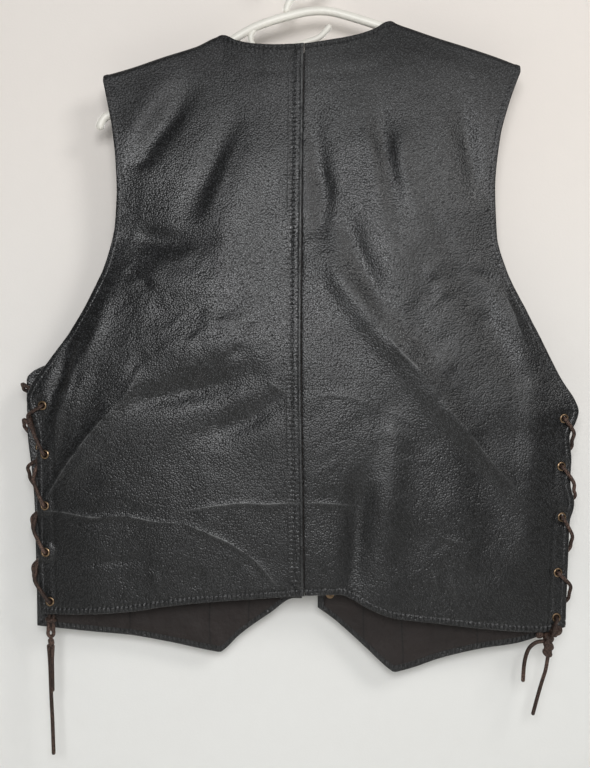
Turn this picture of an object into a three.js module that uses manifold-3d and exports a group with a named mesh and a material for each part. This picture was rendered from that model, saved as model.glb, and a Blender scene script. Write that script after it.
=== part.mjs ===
// Leather vest with laced sides, hanging on a plastic hanger.
// Millimetres, +Z up, +X towards the wearer's right, +Y out of the vest's front.
// The origin is the highest point inside the hanger's hook, where the hook bears on a rod.
import * as THREE from 'three';
import { mergeVertices } from 'three/addons/utils/BufferGeometryUtils.js';
import Module from 'manifold-3d';

const wasm = await Module();
wasm.setup();

// Thicknesses and gaps
const LEATHER = 1.8;
const LINING = 0.8;
const GAP = 0.3;

// Hanger
const ARM_RADIUS = 4.7;
const HOOK_RADIUS = 3.7;
const HOOK_INSIDE_RADIUS = 19;

// The leather turns over the hanger's arm at the shoulder on this radius, to its middle.
// The fronts stand farther out below the seam, because their lining passes the arm too.
const ROLL_STEP = THREE.MathUtils.degToRad(30);
const ROLL = (ARM_RADIUS + GAP) / Math.cos(ROLL_STEP / 2) + LEATHER / 2;
const FRONT_ROLL = ARM_RADIUS + 0.5 + LINING + GAP + LEATHER / 2;

// Sewn bands and strips
const SEAM_BAND = 8.5;
const SEAM_BAND_RISE = 0.8;
const STRIP = 20;
const SEAT = 13;
const HEM_BAND_LEVEL = 0.989;

// Eyelets, snaps and laces
const EYELET = { flange: 5.4, hole: 2.9, barrel: 3.4, face: 2.0, sides: 8 };
const EYELET_BORE = 3.8;
const SNAP = { cap: 5.8, post: 1.8, bore: 2.3, ring: 4.6, sides: 8 };
const LACE_RADIUS = 2.0;
const LACE_SIDES = 6;
const END_SIDES = 8;
const KNOT_CORE_RADIUS = 2.4;
const LACE_RISE = LEATHER / 2 + 2 * LACE_RADIUS + 0.1;

// The line over which the leather turns at the top: shoulders and the back of the neck.
const TOP_LINE = [
  { x: -218, z: -133 },
  { x: -187, z: -124 },
  { x: -152, z: -112 },
  { x: -117, z: -101 },
  { x: -87, z: -89 },
  { x: -73, z: -95 },
  { x: -56, z: -99 },
  { x: -30, z: -101 },
  { x: 0, z: -100 },
  { x: 21, z: -97 },
  { x: 56, z: -90 },
  { x: 75, z: -83 },
  { x: 92, z: -74 },
  { x: 108, z: -79 },
  { x: 143, z: -91 },
  { x: 178, z: -102 },
  { x: 213, z: -114 },
  { x: 235, z: -123 },
];
const NECK = { left: -87, right: 92 };
const NECK_DEPTH = 7;
const NECK_TURN = 14;
const NECK_CLEARANCE = 0.2;
const NECK_LEVEL = 0.12;

// Outlines seen from the back: armhole and side edge from shoulder to hem corner,
// the middle edge from top to hem, and the hem from middle to side.
const BACK_LEFT = {
  outer: [
    { z: -134, x: -218 },
    { z: -163, x: -212 },
    { z: -189, x: -207 },
    { z: -228, x: -203 },
    { z: -256, x: -202 },
    { z: -293, x: -204 },
    { z: -332, x: -213 },
    { z: -371, x: -230 },
    { z: -409, x: -252 },
    { z: -443, x: -277 },
    { z: -467, x: -294 },
    { z: -481, x: -299 },
    { z: -505, x: -292 },
    { z: -526, x: -288 },
    { z: -596, x: -288 },
    { z: -688, x: -286 },
    { z: -714, x: -284 },
  ],
  inner: [
    { z: -100, x: 0 },
    { z: -183, x: -1 },
    { z: -430, x: -3 },
    { z: -588, x: -1 },
    { z: -691, x: 0 },
  ],
  hem: [
    { x: 0, z: -691 },
    { x: -59, z: -695 },
    { x: -100, z: -698 },
    { x: -147, z: -703 },
    { x: -186, z: -709 },
    { x: -225, z: -712 },
    { x: -284, z: -714 },
  ],
  eyelets: [
    { z: -490, inset: 16 },
    { z: -542, inset: 9 },
    { z: -597, inset: 9 },
    { z: -647, inset: 9 },
    { z: -700, inset: 12 },
  ],
};
const BACK_RIGHT = {
  outer: [
    { z: -125, x: 235 },
    { z: -163, x: 221 },
    { z: -202, x: 211 },
    { z: -256, x: 206 },
    { z: -306, x: 208 },
    { z: -345, x: 219 },
    { z: -383, x: 238 },
    { z: -422, x: 258 },
    { z: -461, x: 278 },
    { z: -485, x: 293 },
    { z: -495, x: 296 },
    { z: -506, x: 293 },
    { z: -523, x: 286 },
    { z: -546, x: 288 },
    { z: -573, x: 287 },
    { z: -593, x: 291 },
    { z: -617, x: 286 },
    { z: -666, x: 284 },
    { z: -728, x: 282 },
  ],
  inner: BACK_LEFT.inner,
  hem: [
    { x: 0, z: -691 },
    { x: 38, z: -690 },
    { x: 53, z: -696 },
    { x: 66, z: -704 },
    { x: 97, z: -716 },
    { x: 145, z: -722 },
    { x: 195, z: -728 },
    { x: 239, z: -732 },
    { x: 261, z: -733 },
    { x: 282, z: -728 },
  ],
  eyelets: [
    { z: -502, inset: 15 },
    { z: -553, inset: 11 },
    { z: -607, inset: 11 },
    { z: -666, inset: 11 },
    { z: -714, inset: 11 },
  ],
};
const FRONT_LEFT = {
  outer: [
    { z: -133, x: -218 },
    { z: -200, x: -198 },
    { z: -270, x: -189 },
    { z: -340, x: -197 },
    { z: -400, x: -226 },
    { z: -438, x: -268 },
    { z: -452, x: -297 },
    { z: -460, x: -303 },
    { z: -516, x: -302 },
    { z: -568, x: -296 },
    { z: -614, x: -293 },
    { z: -729, x: -291 },
  ],
  inner: [
    { z: -89, x: -87 },
    { z: -250, x: -52 },
    { z: -400, x: -14 },
    { z: -440, x: -5 },
    { z: -520, x: -2 },
    { z: -701, x: -2 },
  ],
  hem: [
    { x: -2, z: -701 },
    { x: -11, z: -701 },
    { x: -37, z: -717 },
    { x: -72, z: -742 },
    { x: -86.5, z: -756.3 },
    { x: -92.5, z: -760 },
    { x: -99, z: -758.8 },
    { x: -116, z: -755.5 },
    { x: -151, z: -748 },
    { x: -190, z: -741 },
    { x: -230, z: -737 },
    { x: -291, z: -729 },
  ],
  eyelets: [
    { z: -478, inset: 12 },
    { z: -534, inset: 12 },
    { z: -590, inset: 12 },
    { z: -645, inset: 12 },
    { z: -700, inset: 12 },
  ],
};
const FRONT_RIGHT = {
  outer: [
    { z: -123, x: 235 },
    { z: -200, x: 204 },
    { z: -270, x: 193 },
    { z: -345, x: 204 },
    { z: -410, x: 234 },
    { z: -450, x: 268 },
    { z: -466, x: 282 },
    { z: -476, x: 285 },
    { z: -560, x: 283 },
    { z: -650, x: 281 },
    { z: -732, x: 280 },
  ],
  inner: [
    { z: -74, x: 92 },
    { z: -250, x: 58 },
    { z: -400, x: 26 },
    { z: -440, x: 18 },
    { z: -520, x: 15 },
    { z: -711, x: 15 },
  ],
  hem: [
    { x: 15, z: -711 },
    { x: 33, z: -724 },
    { x: 68, z: -755 },
    { x: 94, z: -778.5 },
    { x: 99, z: -781.5 },
    { x: 105, z: -780.3 },
    { x: 121, z: -776 },
    { x: 147, z: -767 },
    { x: 191, z: -756 },
    { x: 233, z: -749 },
    { x: 280, z: -732 },
  ],
  eyelets: [
    { z: -494, inset: 12 },
    { z: -548, inset: 12 },
    { z: -603, inset: 12 },
    { z: -660, inset: 12 },
    { z: -709, inset: 12 },
  ],
};

// The snaps' heights on the front edge, from the lowest up.
const SNAPS = [
  { level: -688 },
  { level: -612 },
  { level: -536 },
  { level: -460 },
];

// How far the leather stands out of its edges' plane, by the distance below the top line.
const BACK_BULGE = [
  { below: 0, out: 0 },
  { below: 60, out: 2 },
  { below: 130, out: 8 },
  { below: 230, out: 17 },
  { below: 340, out: 22 },
  { below: 450, out: 19 },
  { below: 640, out: 13 },
];
const FRONT_BULGE = [
  { below: 0, out: 0 },
  { below: 80, out: 4 },
  { below: 200, out: 10 },
  { below: 340, out: 12 },
  { below: 480, out: 10 },
  { below: 690, out: 7 },
];

// Soft folds: each runs from a point via a point to a point, width to each side,
// and lifts out of the vest or, where negative, dips into it.
const BACK_FOLDS = [
  { name: 'shoulder end ridge', x0: -148, z0: -128, x1: -174, z1: -180, x2: -197, z2: -228, width: 20, lift: 3 },
  { name: 'shoulder end dip', x0: -126, z0: -135, x1: -151, z1: -188, x2: -187, z2: -231, width: 15, lift: -5 },
  { name: 'left blade dip', x0: -79, z0: -188, x1: -98, z1: -233, x2: -123, z2: -283, width: 15, lift: -4.5 },
  { name: 'left blade ridge', x0: -45, z0: -186, x1: -68, z1: -249, x2: -84, z2: -323, width: 24, lift: 2.5 },
  { name: 'left arm dip', x0: -183, z0: -304, x1: -153, z1: -316, x2: -105, z2: -313, width: 14, lift: -5 },
  { name: 'left arm ridge', x0: -185, z0: -345, x1: -153, z1: -360, x2: -95, z2: -366, width: 20, lift: 3 },
  { name: 'left waist ridge', x0: -163, z0: -424, x1: -111, z1: -429, x2: -63, z2: -413, width: 20, lift: 3 },
  { name: 'left waist dip', x0: -193, z0: -487, x1: -132, z1: -474, x2: -57, z2: -457, width: 15, lift: -5 },
  { name: 'left low dip', x0: -105, z0: -516, x1: -63, z1: -509, x2: -13, z2: -470, width: 15, lift: -4 },
  { name: 'left side ridge', x0: -204, z0: -361, x1: -233, z1: -419, x2: -258, z2: -500, width: 14, lift: 4 },
  { name: 'left side dip', x0: -229, z0: -414, x1: -252, z1: -456, x2: -266, z2: -480, width: 12, lift: -3 },
  { name: 'left low ridge', x0: -262, z0: -580, x1: -243, z1: -538, x2: -190, z2: -480, width: 12, lift: 3 },
  { name: 'middle dip', x0: 8, z0: -175, x1: 22, z1: -260, x2: 17, z2: -315, width: 13, lift: -4 },
  { name: 'long ridge', x0: 8, z0: -321, x1: 72, z1: -392, x2: 170, z2: -515, width: 17, lift: 6 },
  { name: 'long ridge end', x0: 140, z0: -480, x1: 176, z1: -520, x2: 226, z2: -578, width: 14, lift: 4 },
  { name: 'long ridge dip', x0: 43, z0: -283, x1: 61, z1: -336, x2: 89, z2: -400, width: 16, lift: -5 },
  { name: 'right blade dip', x0: 80, z0: -162, x1: 87, z1: -217, x2: 100, z2: -300, width: 14, lift: -4 },
  { name: 'right shoulder dip', x0: 167, z0: -159, x1: 176, z1: -207, x2: 186, z2: -260, width: 13, lift: -3.5 },
  { name: 'right arm ridge', x0: 205, z0: -360, x1: 226, z1: -408, x2: 250, z2: -467, width: 14, lift: 3 },
  { name: 'right arm dip', x0: 165, z0: -353, x1: 200, z1: -398, x2: 228, z2: -456, width: 18, lift: -4 },
  { name: 'right waist dip', x0: 149, z0: -482, x1: 207, z1: -551, x2: 199, z2: -657, width: 24, lift: -5 },
  { name: 'right side ridge', x0: 238, z0: -477, x1: 252, z1: -525, x2: 235, z2: -652, width: 17, lift: 3 },
  { name: 'hem step dip', x0: 61, z0: -567, x1: 57, z1: -631, x2: 49, z2: -697, width: 14, lift: -5 },
  { name: 'hem step ridge', x0: 93, z0: -514, x1: 89, z1: -588, x2: 86, z2: -704, width: 18, lift: 4 },
];
const FRONT_FOLDS = [
  { name: 'left chest dip', x0: -170, z0: -160, x1: -120, z1: -270, x2: -60, z2: -400, width: 20, lift: -4 },
  { name: 'left arm ridge', x0: -190, z0: -310, x1: -160, z1: -400, x2: -90, z2: -470, width: 20, lift: 4 },
  { name: 'left low dip', x0: -250, z0: -560, x1: -170, z1: -600, x2: -90, z2: -580, width: 18, lift: -4 },
  { name: 'left hem ridge', x0: -120, z0: -600, x1: -140, z1: -660, x2: -130, z2: -740, width: 20, lift: 3 },
  { name: 'right chest dip', x0: 175, z0: -150, x1: 135, z1: -260, x2: 75, z2: -390, width: 20, lift: -4 },
  { name: 'right arm ridge', x0: 190, z0: -330, x1: 150, z1: -420, x2: 80, z2: -480, width: 20, lift: 4 },
  { name: 'right low dip', x0: 240, z0: -540, x1: 170, z1: -590, x2: 90, z2: -610, width: 18, lift: -4 },
  { name: 'right hem ridge', x0: 150, z0: -610, x1: 160, z1: -670, x2: 150, z2: -750, width: 20, lift: 3 },
];

// Where the laces' ends and knots hang, seen from the back.
const LEFT_TAIL = { x: -274, y: -2, loop: -735, bead: -746, end: -749.2 };
const RIGHT_KNOT = { x: 263, y: -7.5, top: -735.5, bottom: -760, end: -760 };
const FREE_ENDS = [
  {
    name: 'lace_left_end_short',
    route: [[-271.8, -3.3, -749.8], [-272.2, -4.4, -763], [-271.9, -4.8, -778], [-271.6, -4.7, -798]],
  },
  {
    name: 'lace_left_end_long',
    route: [
      [-276.2, -3.1, -749.5], [-275.4, -1.2, -766], [-274.8, -0.6, -785], [-273.9, -0.9, -806],
      [-272.4, -1.8, -832], [-271, -2.4, -867],
    ],
  },
  {
    name: 'lace_right_end_short',
    route: [
      [258.5, -7.6, -742.6], [250, -9.3, -743.4], [242.8, -9, -749], [239, -8, -758],
      [237, -7, -770], [236, -6.5, -787],
    ],
  },
  {
    name: 'lace_right_end_long',
    route: [[262.5, -7.5, -760.55], [260.2, -7.1, -774], [256.2, -6.8, -787], [251.5, -6.2, -804], [246.5, -6, -823]],
  },
];

// Hanger routes, in the plane of its arms
const ARM_SLOPE_RIGHT = -0.343;
const HANGER_TUBE = {
  leftTip: { x: -222.5, z: -190 },
  leftShoulder: { x: -219, z: -178 },
  leftArm: { x: -208, z: -171 },
  leftNeck: { x: -80, z: -93.5 },
  leftBend: { x: -49, z: -75 },
  rightBend: { x: 16, z: -57.5 },
};
const RIGHT_ARM_START = 60;
const RIGHT_ARM_END = 214;
const HOOK_SHANK = [
  { x: -20.5, z: -63 },
  { x: -16.5, z: -52 },
  { x: -9, z: -44.5 },
  { x: 2, z: -41.8 },
];
const STRAP_HOOK = [
  { x: -53, z: -79 },
  { x: -58, z: -90 },
  { x: -52, z: -100 },
  { x: -26, z: -102 },
  { x: 1, z: -95 },
  { x: 17, z: -89 },
  { x: 29, z: -76 },
];
const STRAP_HOOK_RADIUS = 3.3;

const inPlane = ({ x, z }) => new THREE.Vector3(x, 0, z);

// The middle line of the hanger's bent tube, from its left tip to its right end. The right
// arm carries the shoulder along its whole length, so it runs a roll's radius below it.
function hangerPath() {
  const place = HANGER_TUBE;
  const drop = ROLL / Math.cos(Math.atan(ARM_SLOPE_RIGHT));
  const rightArm = (x) => ({ x, z: topLine(NECK.right) + (x - NECK.right) * ARM_SLOPE_RIGHT - drop });
  return [
    place.leftTip, place.leftShoulder, place.leftArm, place.leftNeck, place.leftBend, place.rightBend,
    rightArm(RIGHT_ARM_START), rightArm(RIGHT_ARM_END),
  ].map(inPlane);
}

// A smooth curve through a table's rows that never swings past them, value by key.
function through(rows, key, value) {
  const sorted = [...rows].sort((p, q) => p[key] - q[key]);
  const a = sorted.map((row) => row[key]);
  const b = sorted.map((row) => row[value]);
  const last = a.length - 1;
  const slope = a.slice(1).map((next, i) => (b[i + 1] - b[i]) / (next - a[i]));
  const tangent = a.map((_, i) => {
    if (i === 0) return slope[0];
    if (i === last) return slope[last - 1];
    const product = slope[i - 1] * slope[i];
    return product <= 0 ? 0 : (2 * product) / (slope[i - 1] + slope[i]);
  });
  return (at) => {
    const t = Math.min(Math.max(at, a[0]), a[last]);
    let i = 0;
    while (i < last - 1 && t > a[i + 1]) i += 1;
    const h = a[i + 1] - a[i];
    const s = (t - a[i]) / h;
    const rise = b[i + 1] - b[i];
    const blend = s * s * (3 - 2 * s);
    return b[i] + rise * blend + h * s * (1 - s) * ((1 - s) * tangent[i] - s * tangent[i + 1]);
  };
}

const topLine = through(TOP_LINE, 'x', 'z');
const backBulge = through(BACK_BULGE, 'below', 'out');
const frontBulge = through(FRONT_BULGE, 'below', 'out');
const smooth = THREE.MathUtils.smoothstep;

// Height of all folds at a place: a rounded ridge or dip around each fold's curve,
// fading out towards the curve's ends.
function foldHeight(folds, x, z) {
  const steps = 12;
  let height = 0;
  for (const fold of folds) {
    let nearest = Infinity;
    let place = 0;
    for (let k = 0; k <= steps; k += 1) {
      const t = k / steps;
      const cx = (1 - t) ** 2 * fold.x0 + 2 * t * (1 - t) * fold.x1 + t * t * fold.x2;
      const cz = (1 - t) ** 2 * fold.z0 + 2 * t * (1 - t) * fold.z1 + t * t * fold.z2;
      const distance = Math.hypot(x - cx, z - cz);
      if (distance < nearest) {
        nearest = distance;
        place = t;
      }
    }
    const fade = 0.35 + 0.65 * Math.sin(Math.PI * place);
    height += fold.lift * fade * Math.exp(-((nearest / fold.width) ** 2));
  }
  return height;
}

// A panel's outline as functions: points on its four edges and inside them.
function makePanel(table, side, face) {
  const outerX = through(table.outer, 'z', 'x');
  const innerX = through(table.inner, 'z', 'x');
  const hemZ = through(table.hem, 'x', 'z');
  const seam = side * GAP / 2;
  const outerTop = topLine(table.outer[0].x) - ROLL;
  const outerEnd = table.outer.at(-1).z;
  const innerTop = topLine(table.inner[0].x) - ROLL;
  const innerEnd = table.inner.at(-1).z;
  const outer = (v) => {
    const z = THREE.MathUtils.lerp(outerTop, outerEnd, v);
    return [outerX(z), z];
  };
  const inner = (v) => {
    const z = THREE.MathUtils.lerp(innerTop, innerEnd, v);
    return [innerX(z) + seam, z];
  };
  const top = (u) => {
    const x = THREE.MathUtils.lerp(inner(0)[0], outer(0)[0], u);
    return [x, topLine(x) - ROLL];
  };
  const hem = (u) => {
    const x = THREE.MathUtils.lerp(inner(1)[0], outer(1)[0], u);
    return [x, hemZ(x)];
  };
  const at = (u, v) => [0, 1].map((k) => (
    (1 - u) * inner(v)[k] + u * outer(v)[k] + (1 - v) * top(u)[k] + v * hem(u)[k]
    - (1 - u) * (1 - v) * top(0)[k] - u * (1 - v) * top(1)[k]
    - (1 - u) * v * hem(0)[k] - u * v * hem(1)[k]
  ));
  const levelOf = (z) => (z - outerTop) / (outerEnd - outerTop);
  const innerLevelOf = (z) => (z - innerTop) / (innerEnd - innerTop);
  const inset = through(table.eyelets, 'z', 'inset');
  const base = face < 0 ? ROLL : FRONT_ROLL;
  return { table, side, face, base, outerX, outer, at, levelOf, innerLevelOf, inset };
}

// The middle of the leather's depth at a place on a panel.
function depth(panel, x, z) {
  const back = panel.face < 0;
  const neckSide = x < 0 ? NECK.left : NECK.right;
  const acrossNeck = Math.min(Math.abs(x / neckSide), 1);
  const lineX = back || acrossNeck === 1 ? x : neckSide;
  const below = Math.max(topLine(lineX) - ROLL - z, 0);
  const across = Math.min(Math.abs(x / panel.outerX(z)), 1);
  const bulge = (back ? backBulge(below) : frontBulge(below)) * (1 - across ** 3);
  const neck = back ? NECK_DEPTH * (1 - acrossNeck ** 2) * Math.exp(-below / 60) : 0;
  const folds = foldHeight(back ? BACK_FOLDS : FRONT_FOLDS, x, z);
  const settle = smooth(below, 0, 50);
  const hemSettle = 0.4 + 0.6 * smooth(z, -735, -660);
  return panel.face * (panel.base + bulge + neck + folds * settle * hemSettle);
}

// Levels of a panel's rows: a band of two rows for each eyelet and each snap, even rows
// above them, and the hem. A snap that falls on an eyelet's band shares it.
function panelRows(panel, armRows, between, snaps) {
  const half = SEAT / 2;
  const bands = panel.table.eyelets.map((row) => (
    { high: panel.levelOf(row.z + half), low: panel.levelOf(row.z - half), eyelet: true }
  ));
  const height = bands[0].low - bands[0].high;
  for (const snap of snaps) {
    const middle = panel.innerLevelOf(snap.level);
    const near = bands.find(({ high, low }) => middle > high - height / 2 && middle < low + height / 2);
    if (near) near.snap = true;
    else bands.push({ high: middle - height / 2, low: middle + height / 2, snap: true });
  }
  bands.sort((p, q) => p.high - q.high);
  const rows = [];
  const first = bands[0].high;
  for (let k = 0; k < armRows; k += 1) rows.push(first * (k / armRows));
  bands.forEach((band, i) => {
    if (i > 0) {
      const above = bands[i - 1].low;
      for (let k = 1; k <= between; k += 1) rows.push(above + (band.high - above) * (k / (between + 1)));
    }
    band.row = rows.length;
    rows.push(band.high, band.low);
  });
  if (bands.at(-1).low < HEM_BAND_LEVEL - 0.003) rows.push(HEM_BAND_LEVEL);
  rows.push(1);
  return { rows, bands };
}

// Columns of a panel at a level, as shares of the way from its middle edge to its side edge.
// Near the top one column of a back moves onto the neck point, where the edge turns.
function panelColumns(panel, level, count, innerSteps) {
  const width = Math.abs(panel.at(0, level)[0] - panel.at(1, level)[0]);
  const z = panel.outer(level)[1];
  const inset = panel.inset(z);
  const high = inset + SEAT / 2;
  const steps = [0, inset - SEAT / 2, high];
  const innerEnd = width - innerSteps[0];
  for (let k = 1; k < count; k += 1) steps.push(high + (innerEnd - high) * (k / count));
  for (const step of innerSteps) steps.push(width - step);
  const shares = steps.map((step) => 1 - step / width);
  if (panel.face > 0) return shares;
  const neckShare = (panel.side < 0 ? NECK.left : NECK.right) / panel.at(1, 0)[0];
  const offsets = shares.map((share) => Math.abs(share - neckShare));
  const nearest = offsets.indexOf(Math.min(...offsets));
  shares[nearest] += (neckShare - shares[nearest]) * Math.max(1 - level / NECK_LEVEL, 0);
  return shares;
}

// The direction away from the hanger's arm at an angle from straight up, towards the panel's face.
function rollDirection(panel, x, angle) {
  const slope = (topLine(x + 1) - topLine(x - 1)) / 2;
  const up = new THREE.Vector3(-slope, 0, 1).normalize().multiplyScalar(Math.cos(angle));
  return up.addScaledVector(new THREE.Vector3(0, panel.face, 0), Math.sin(angle));
}

function onShoulder(x) {
  const neckPoint = Math.abs(x < 0 ? NECK.left : NECK.right);
  return smooth(Math.abs(x), neckPoint, neckPoint + NECK_TURN);
}

// Near the neck points the leather's middle stays a roll's radius away from the hanger's tube.
function clearOfHanger(point) {
  const neckPoint = point.x < 0 ? NECK.left : NECK.right;
  if (Math.abs(point.x - neckPoint) > 2 * NECK_TURN) return point;
  const clearance = ROLL + NECK_CLEARANCE;
  const nearest = new THREE.Vector3();
  const path = hangerPath();
  for (let k = 2; k < path.length - 1; k += 1) {
    new THREE.Line3(path[k], path[k + 1]).closestPointToPoint(point, true, nearest);
    const away = point.clone().sub(nearest);
    if (away.length() < clearance) point.copy(nearest).addScaledVector(away.normalize(), clearance);
  }
  return point;
}

// A panel's grid of points in the middle of its leather, with normals pointing outwards.
function panelGrid(panel, { armRows, between, count, innerSteps, rollAngles, snaps }) {
  const { rows, bands } = panelRows(panel, armRows, between, snaps);
  const points = rows.map((level) => (
    panelColumns(panel, level, count, innerSteps).map((u) => {
      const [x, z] = panel.at(u, level);
      return new THREE.Vector3(x, depth(panel, x, z), z);
    })
  ));
  const turned = rollAngles.map((angle, k) => points[0].map((point) => {
    const crest = topLine(point.x) - ROLL;
    const stand = THREE.MathUtils.lerp(ROLL, panel.base, Math.max(angle / (Math.PI / 2), 0));
    const rolled = new THREE.Vector3(
      point.x, panel.face * stand * Math.sin(angle), crest + ROLL * Math.cos(angle),
    );
    const share = 1 - k / rollAngles.length;
    const flat = new THREE.Vector3(point.x, point.y, crest + ROLL * share);
    return clearOfHanger(flat.lerp(rolled, onShoulder(point.x)));
  }));
  points.slice(0, 2).forEach((row) => row.forEach(clearOfHanger));
  const grid = [...turned, ...points];
  const seats = flattenSeats(panel, grid, bands, turned.length);
  const normals = gridNormals(panel, grid, seats);
  [...rollAngles, Math.PI / 2].forEach((angle, i) => normals[i].forEach((normal, j) => {
    const { x } = grid[i][j];
    normal.lerp(rollDirection(panel, x, angle), onShoulder(x)).normalize();
  }));
  return { panel, grid, normals, seats, turned: turned.length };
}

// The cells that carry eyelets and snaps are made flat.
function flattenSeats(panel, grid, bands, shift) {
  const flatten = (kind, row, column) => {
    const corners = [
      grid[row][column], grid[row][column + 1], grid[row + 1][column + 1], grid[row + 1][column],
    ];
    const centre = corners.reduce((sum, p) => sum.add(p), new THREE.Vector3()).divideScalar(4);
    const one = corners[2].clone().sub(corners[0]);
    const two = corners[3].clone().sub(corners[1]);
    const normal = one.cross(two).normalize();
    if (normal.y * panel.face < 0) normal.negate();
    for (const corner of corners) {
      corner.y -= corner.clone().sub(centre).dot(normal) / normal.y;
    }
    return { kind, row, column, centre, normal };
  };
  const snapColumn = grid[0].length - 3;
  return bands.flatMap((band) => [
    ...(band.eyelet ? [flatten('eyelet', shift + band.row, 1)] : []),
    ...(band.snap ? [flatten('snap', shift + band.row, snapColumn)] : []),
  ]);
}

function gridNormals(panel, grid, seats) {
  const last = grid.length - 1;
  const normals = grid.map((row, i) => row.map((_, j) => {
    const up = grid[Math.max(i - 1, 0)][j];
    const down = grid[Math.min(i + 1, last)][j];
    const left = row[Math.max(j - 1, 0)];
    const right = row[Math.min(j + 1, row.length - 1)];
    const along = down.clone().sub(up);
    return right.clone().sub(left).cross(along).normalize();
  }));
  const probe = normals[Math.floor(last / 2)][3];
  if (probe.y * panel.face < 0) normals.forEach((row) => row.forEach((n) => n.negate()));
  for (const { row, column, normal } of seats) {
    for (const [i, j] of [[0, 0], [0, 1], [1, 0], [1, 1]]) {
      normals[row + i][column + j] = normal.clone();
    }
  }
  return normals;
}

function signedVolume(positions, index) {
  let volume = 0;
  const corner = (k) => new THREE.Vector3().fromArray(positions, index[k] * 3);
  for (let k = 0; k < index.length; k += 3) {
    volume += corner(k).dot(corner(k + 1).cross(corner(k + 2))) / 6;
  }
  return volume;
}

function closedGeometry(positions, index) {
  const outward = [...index];
  if (signedVolume(positions, index) < 0) {
    for (let k = 0; k < outward.length; k += 3) {
      [outward[k + 1], outward[k + 2]] = [outward[k + 2], outward[k + 1]];
    }
  }
  const geometry = new THREE.BufferGeometry();
  geometry.setAttribute('position', new THREE.Float32BufferAttribute(positions, 3));
  geometry.setIndex(outward);
  return geometry;
}

// A wall between two offsets of a grid, closed all round its edge.
function wall(grid, normals, outside, inside) {
  const rows = grid.length;
  const columns = grid[0].length;
  const positions = [];
  for (const offset of [outside, inside]) {
    grid.forEach((row, i) => row.forEach((point, j) => {
      positions.push(...point.clone().addScaledVector(normals[i][j], offset(i, j)).toArray());
    }));
  }
  const layer = rows * columns;
  const id = (i, j, under) => under * layer + i * columns + j;
  const index = [];
  const quad = (a, b, c, d) => index.push(a, b, c, a, c, d);
  for (let i = 0; i < rows - 1; i += 1) {
    for (let j = 0; j < columns - 1; j += 1) {
      quad(id(i, j, 0), id(i, j + 1, 0), id(i + 1, j + 1, 0), id(i + 1, j, 0));
      quad(id(i, j, 1), id(i + 1, j, 1), id(i + 1, j + 1, 1), id(i, j + 1, 1));
    }
  }
  for (let j = 0; j < columns - 1; j += 1) {
    quad(id(0, j, 1), id(0, j + 1, 1), id(0, j + 1, 0), id(0, j, 0));
    quad(id(rows - 1, j, 0), id(rows - 1, j + 1, 0), id(rows - 1, j + 1, 1), id(rows - 1, j, 1));
  }
  for (let i = 0; i < rows - 1; i += 1) {
    quad(id(i, 0, 0), id(i + 1, 0, 0), id(i + 1, 0, 1), id(i, 0, 1));
    quad(id(i, columns - 1, 1), id(i + 1, columns - 1, 1), id(i + 1, columns - 1, 0), id(i, columns - 1, 0));
  }
  return closedGeometry(positions, index);
}

// Solids for joining and cutting
function solid(geometry) {
  const bare = geometry.clone();
  bare.deleteAttribute('normal');
  bare.deleteAttribute('uv');
  const merged = mergeVertices(bare, 1e-4);
  return new wasm.Manifold(new wasm.Mesh({
    numProp: 3,
    vertProperties: new Float32Array(merged.attributes.position.array),
    triVerts: new Uint32Array(merged.index.array),
  }));
}

function geometryOf(body) {
  const mesh = body.getMesh();
  const geometry = new THREE.BufferGeometry();
  geometry.setAttribute('position', new THREE.BufferAttribute(new Float32Array(mesh.vertProperties), 3));
  geometry.setIndex([...mesh.triVerts]);
  return geometry;
}

const joined = (geometries) => geometryOf(geometries.map(solid).reduce((sum, next) => sum.add(next)));

function cut(geometry, cutters) {
  return geometryOf(cutters.map(solid).reduce((body, cutter) => body.subtract(cutter), solid(geometry)));
}

// Places a turned shape with its axis on a seat's normal.
function seated(geometry, seat) {
  const turn = new THREE.Quaternion().setFromUnitVectors(new THREE.Vector3(0, 1, 0), seat.normal);
  return geometry.applyQuaternion(turn).translate(...seat.centre.toArray());
}

const boreAt = (seat, radius) => seated(new THREE.CylinderGeometry(radius, radius, 12, 8), seat);
const bores = (seats) => seats.map((seat) => (
  boreAt(seat, seat.kind === 'eyelet' ? EYELET_BORE : SNAP.bore)
));

const lathe = (profile, sides) => new THREE.LatheGeometry(profile.map(([r, h]) => new THREE.Vector2(r, h)), sides);

function eyeletShape() {
  const { flange, hole, barrel, face, sides } = EYELET;
  const under = LEATHER / 2 + GAP;
  return lathe([
    [hole, -face], [flange, -under - 0.05], [barrel, -under], [barrel, under],
    [flange, under + 0.05], [hole, face], [hole, -face],
  ], sides);
}

function snapShape(stud) {
  const { cap, post, ring, sides } = SNAP;
  const outside = LEATHER / 2 + GAP;
  const inside = -(LEATHER / 2 + GAP + LINING + GAP);
  const head = stud
    ? [[0, outside + 3.6], [1.9, outside + 3.2], [1.7, outside + 1.4], [ring, outside + 1], [ring, outside]]
    : [[0, outside + 2.2], [cap - 1.4, outside + 1.5], [cap, outside]];
  return lathe([...head, [post, outside], [post, inside], [ring, inside], [ring - 0.5, inside - 1.3],
    [0, inside - 1.3]].reverse(), sides);
}

// A route whose rings stand exactly on its points.
class Route extends THREE.Curve {
  constructor(points) {
    super();
    this.points = points;
  }

  getPoint(t) {
    const place = t * (this.points.length - 1);
    const i = Math.min(Math.floor(place), this.points.length - 2);
    return this.points[i].clone().lerp(this.points[i + 1], place - i);
  }

  getPointAt(t) {
    return this.getPoint(t);
  }

  getTangentAt(t) {
    const last = this.points.length - 1;
    const i = Math.round(t * last);
    const after = this.points[Math.min(i + 1, last)];
    const before = this.points[Math.max(i - 1, 0)];
    return after.clone().sub(before).normalize();
  }
}

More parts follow.
